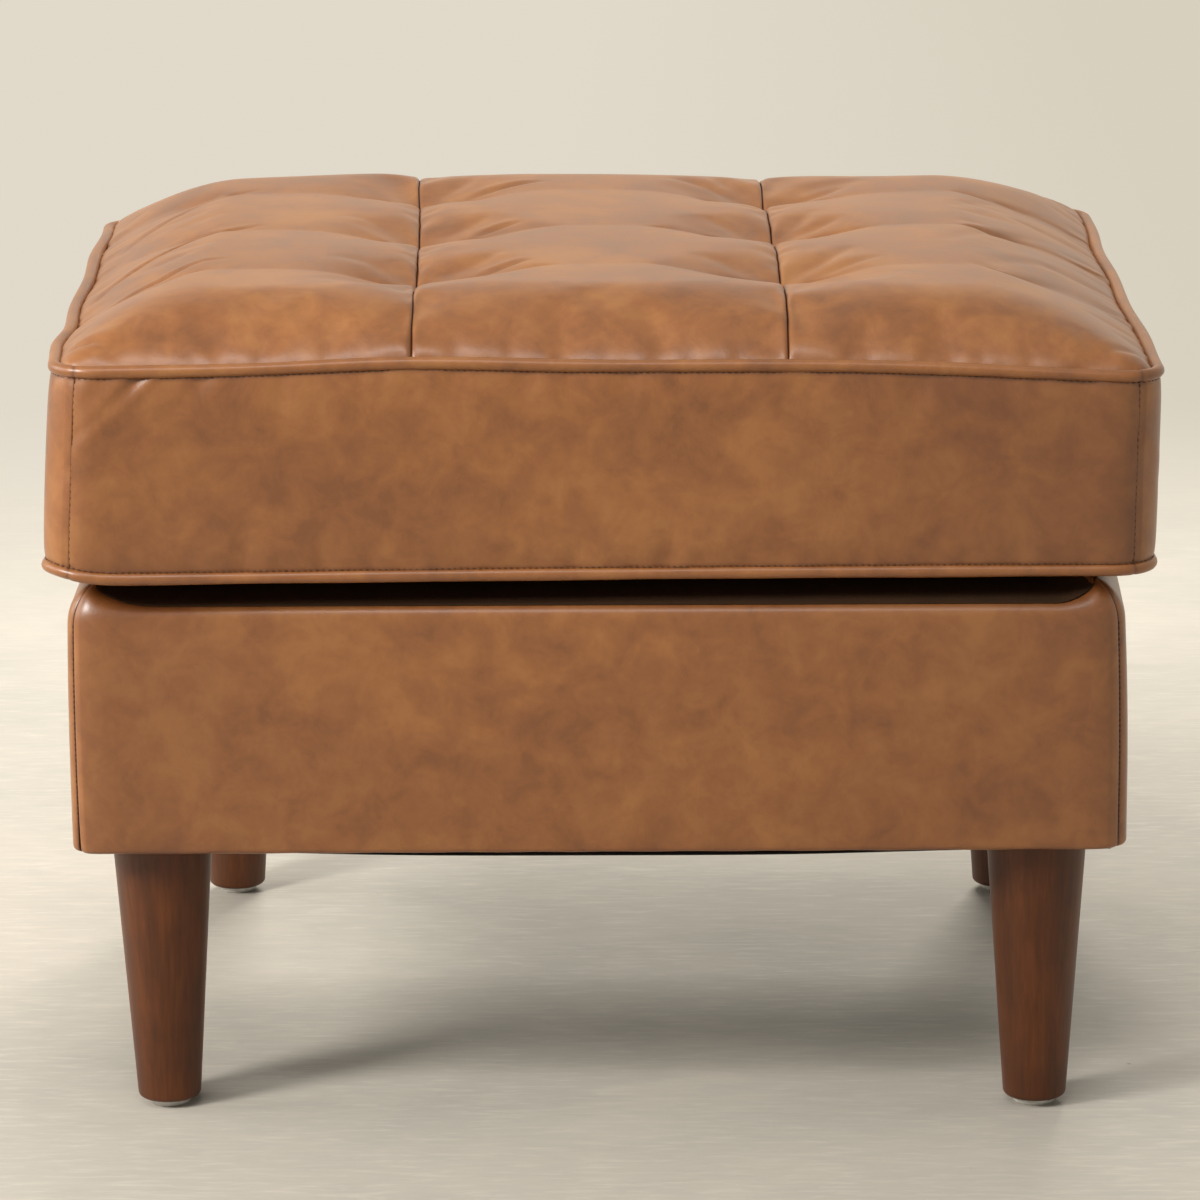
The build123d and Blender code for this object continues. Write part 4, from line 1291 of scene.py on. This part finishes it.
nodeMaterials.update(
    glide_nails=steel, leg_bolts=steel, leg_t_nuts=steel, frame_screws=steel, base_top_pad=foam,
    foam_core=foam, upper_fibre_wrap=fibre, lower_fibre_wrap=fibre, tuft_ties=waxedTwine,
    tuft_toggles=togglePlastic, zip_tape=zipFabric, zip_chain=zipPlastic, zip_slider=brass,
    zip_pull=brass)
for name, material in nodeMaterials.items():
    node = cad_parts[name]
    if not node.material_slots:
        node.data.materials.append(material)
    for place in node.material_slots:
        place.material = material
print("Construction finished with", len(nodeMaterials), "materials")

# Floor, light and camera
stageLook = {
    "floorDark": "#B3AEA4",
    "floor": "#BDB7AB",
    "floorPale": "#C8C0B3",
    "streak": "#D3CCBF",
    "spot": "#6E675B",
    "far": "#E1D9CA",
    # the glowing backdrop's colour at the right, painted darker as shade
    "farRight": "#D8D0BF",
    "nearReach": 0.5,
    "farReach": 1.9,
    "worldLight": 0.31,
}
# power in watts, place, the point it faces, width and height, colour, and if it shows in gloss
lamps = {
    "key": (44, (-1.65, -1.25, 1.4), (0, 0, 0.2), (0.6,), (1, 0.97, 0.92), True),
    "leftWindow": (24, (-2.6, 0.2, 1.12), (0, 0, 0.25), (1.8, 1.2), (1, 0.98, 0.95), True),
    "backWindow": (124, (0.25, 2.8, 1.5), (0, 0, 0.15), (1.5, 0.8), (1, 0.98, 0.94), False),
    "overhead": (8, (0.1, 0.1, 2.4), (0, 0, 0.3), (1.6, 1.0), (1, 0.98, 0.95), False),
    "frontStrip": (17, (-0.4, -1.5, 2.4), (0, -0.2, 0.4), (1.4, 0.2), (1, 0.98, 0.95), True),
}


# Painted concrete, worn and streaked, that goes over into a bright glowing backdrop further off,
# painted darker to the right
def makeFloor():
    look, reach = stageLook, 40
    corners = [(-reach, -reach, 0), (reach, -reach, 0), (reach, reach, 0), (-reach, reach, 0)]
    floor = meshPiece("floor", corners, [(0, 1, 2, 3)])
    material, tree = startMaterial("FloorPaintedConcrete")
    place = addNode(tree, "ShaderNodeTexCoord", out="Object")
    patches = addNode(tree, "ShaderNodeTexNoise", {
        "Vector": place, "Scale": 1 / 0.28, "Detail": 5, "Roughness": 0.6, "Distortion": 0.6})
    scuffs = addNode(tree, "ShaderNodeTexNoise", {
        "Vector": objectPlace(tree, scale=(1, 3.5, 1)), "Scale": 1 / 0.05, "Detail": 5,
        "Roughness": 0.7})
    colour = addNode(tree, "ShaderNodeValToRGB",
                     {0: weighted(tree, (patches, 1.0), (scuffs, 0.5))},
                     stops=[(0.55, look["floorDark"]), (0.8, look["floor"]),
                            (1.0, look["floorPale"])])
    streaks = addNode(tree, "ShaderNodeTexNoise", {
        "Vector": objectPlace(tree, (0.4, 0.2, 0), (0.35, 2.2, 1)), "Scale": 1 / 0.011,
        "Detail": 6, "Roughness": 0.68, "Distortion": 0.3})
    spots = addNode(tree, "ShaderNodeTexVoronoi", {"Vector": place, "Scale": 1 / 0.07})
    for marks, stops, tint in ((streaks, [(0.5, 0.0), (0.68, 0.5)], look["streak"]),
                               (spots, [(0.012, 0.55), (0.024, 0.0)], look["spot"])):
        share = addNode(tree, "ShaderNodeValToRGB", {0: marks}, stops=stops)
        colour = addNode(tree, "ShaderNodeMix", {0: share, 6: colour, 7: linear(tint)}, 2,
                         data_type="RGBA")
    shader = addNode(tree, "ShaderNodeBsdfPrincipled", {"Base Color": colour, "Roughness": 0.75})
    away = addNode(tree, "ShaderNodeVectorMath", {0: place}, "Value", operation="LENGTH")
    share = addNode(tree, "ShaderNodeMapRange", {
        "Value": away, "From Min": look["nearReach"], "From Max": look["farReach"]},
        interpolation_type="SMOOTHSTEP")
    across = addNode(tree, "ShaderNodeSeparateXYZ", {0: place}, "X")
    # painted shade: the glowing backdrop is darker towards the right
    sideways = addNode(tree, "ShaderNodeMapRange", {
        "Value": across, "From Min": -0.15, "From Max": 0.55})
    backdrop = addNode(tree, "ShaderNodeMix", {
        0: sideways, 6: linear(look["far"]), 7: linear(look["farRight"])}, 2, data_type="RGBA")
    glow = addNode(tree, "ShaderNodeEmission", {"Color": backdrop})
    mixed = addNode(tree, "ShaderNodeMixShader", {0: share, 1: shader, 2: glow})
    addNode(tree, "ShaderNodeOutputMaterial", {"Surface": mixed})
    floor.data.materials.append(material)


def makeWorld():
    world = bpy.data.worlds.new("Studio")
    bpy.context.scene.world = world
    world.use_nodes = True
    tree = world.node_tree
    tree.nodes.clear()
    rays = addNode(tree, "ShaderNodeLightPath").node.outputs
    seen = rays["Is Camera Ray"]
    for ray in ("Is Glossy Ray", "Is Transmission Ray"):
        seen = addNode(tree, "ShaderNodeMath", {0: seen, 1: rays[ray]}, operation="MAXIMUM")
    light = addNode(tree, "ShaderNodeBackground",
                    {"Color": (1, 0.98, 0.95, 1), "Strength": stageLook["worldLight"]})
    shown = addNode(tree, "ShaderNodeBackground", {"Color": linear(stageLook["far"])})
    mixed = addNode(tree, "ShaderNodeMixShader", {0: seen, 1: light, 2: shown})
    addNode(tree, "ShaderNodeOutputWorld", {"Surface": mixed})


makeFloor()
makeWorld()
for name, (power, place, towards, size, colour, inGloss) in lamps.items():
    lamp = bpy.data.lights.new(name, "AREA")
    lamp.energy, lamp.color = power, colour
    lamp.shape = "RECTANGLE" if len(size) > 1 else "DISK"
    lamp.size, lamp.size_y = size[0], size[-1]
    holder = bpy.data.objects.new(name, lamp)
    bpy.context.scene.collection.objects.link(holder)
    holder.location = place
    holder.rotation_euler = (Vector(towards) - Vector(place)).to_track_quat("-Z", "Y").to_euler()
    holder.visible_glossy = inGloss

# The photograph's camera: place in metres, turn in degrees, lens for a 36 mm wide sensor
view = {"place": (0.0852, -3.1248, 0.9902), "yaw": -1.63, "pitch": 13.5, "roll": 0.6,
        "lens": 162.87, "sensor": 36}


def makeCamera():
    yaw, pitch, roll = (math.radians(view[key]) for key in ("yaw", "pitch", "roll"))
    ahead = np.array([math.sin(yaw) * math.cos(pitch), math.cos(yaw) * math.cos(pitch),
                      -math.sin(pitch)])
    level = np.array([math.cos(yaw), -math.sin(yaw), 0])
    down = np.cross(ahead, level)
    right = math.cos(roll) * level + math.sin(roll) * down
    lower = math.cos(roll) * down - math.sin(roll) * level
    lens = bpy.data.cameras.new("camera")
    lens.lens, lens.sensor_width = view["lens"], view["sensor"]
    camera = bpy.data.objects.new("camera", lens)
    bpy.context.scene.collection.objects.link(camera)
    turned = Matrix(np.stack([right, -lower, -ahead], axis=1).tolist()).to_4x4()
    camera.matrix_world = Matrix.Translation(view["place"]) @ turned
    bpy.context.scene.camera = camera


makeCamera()
bpy.context.scene.view_settings.view_transform = "Standard"
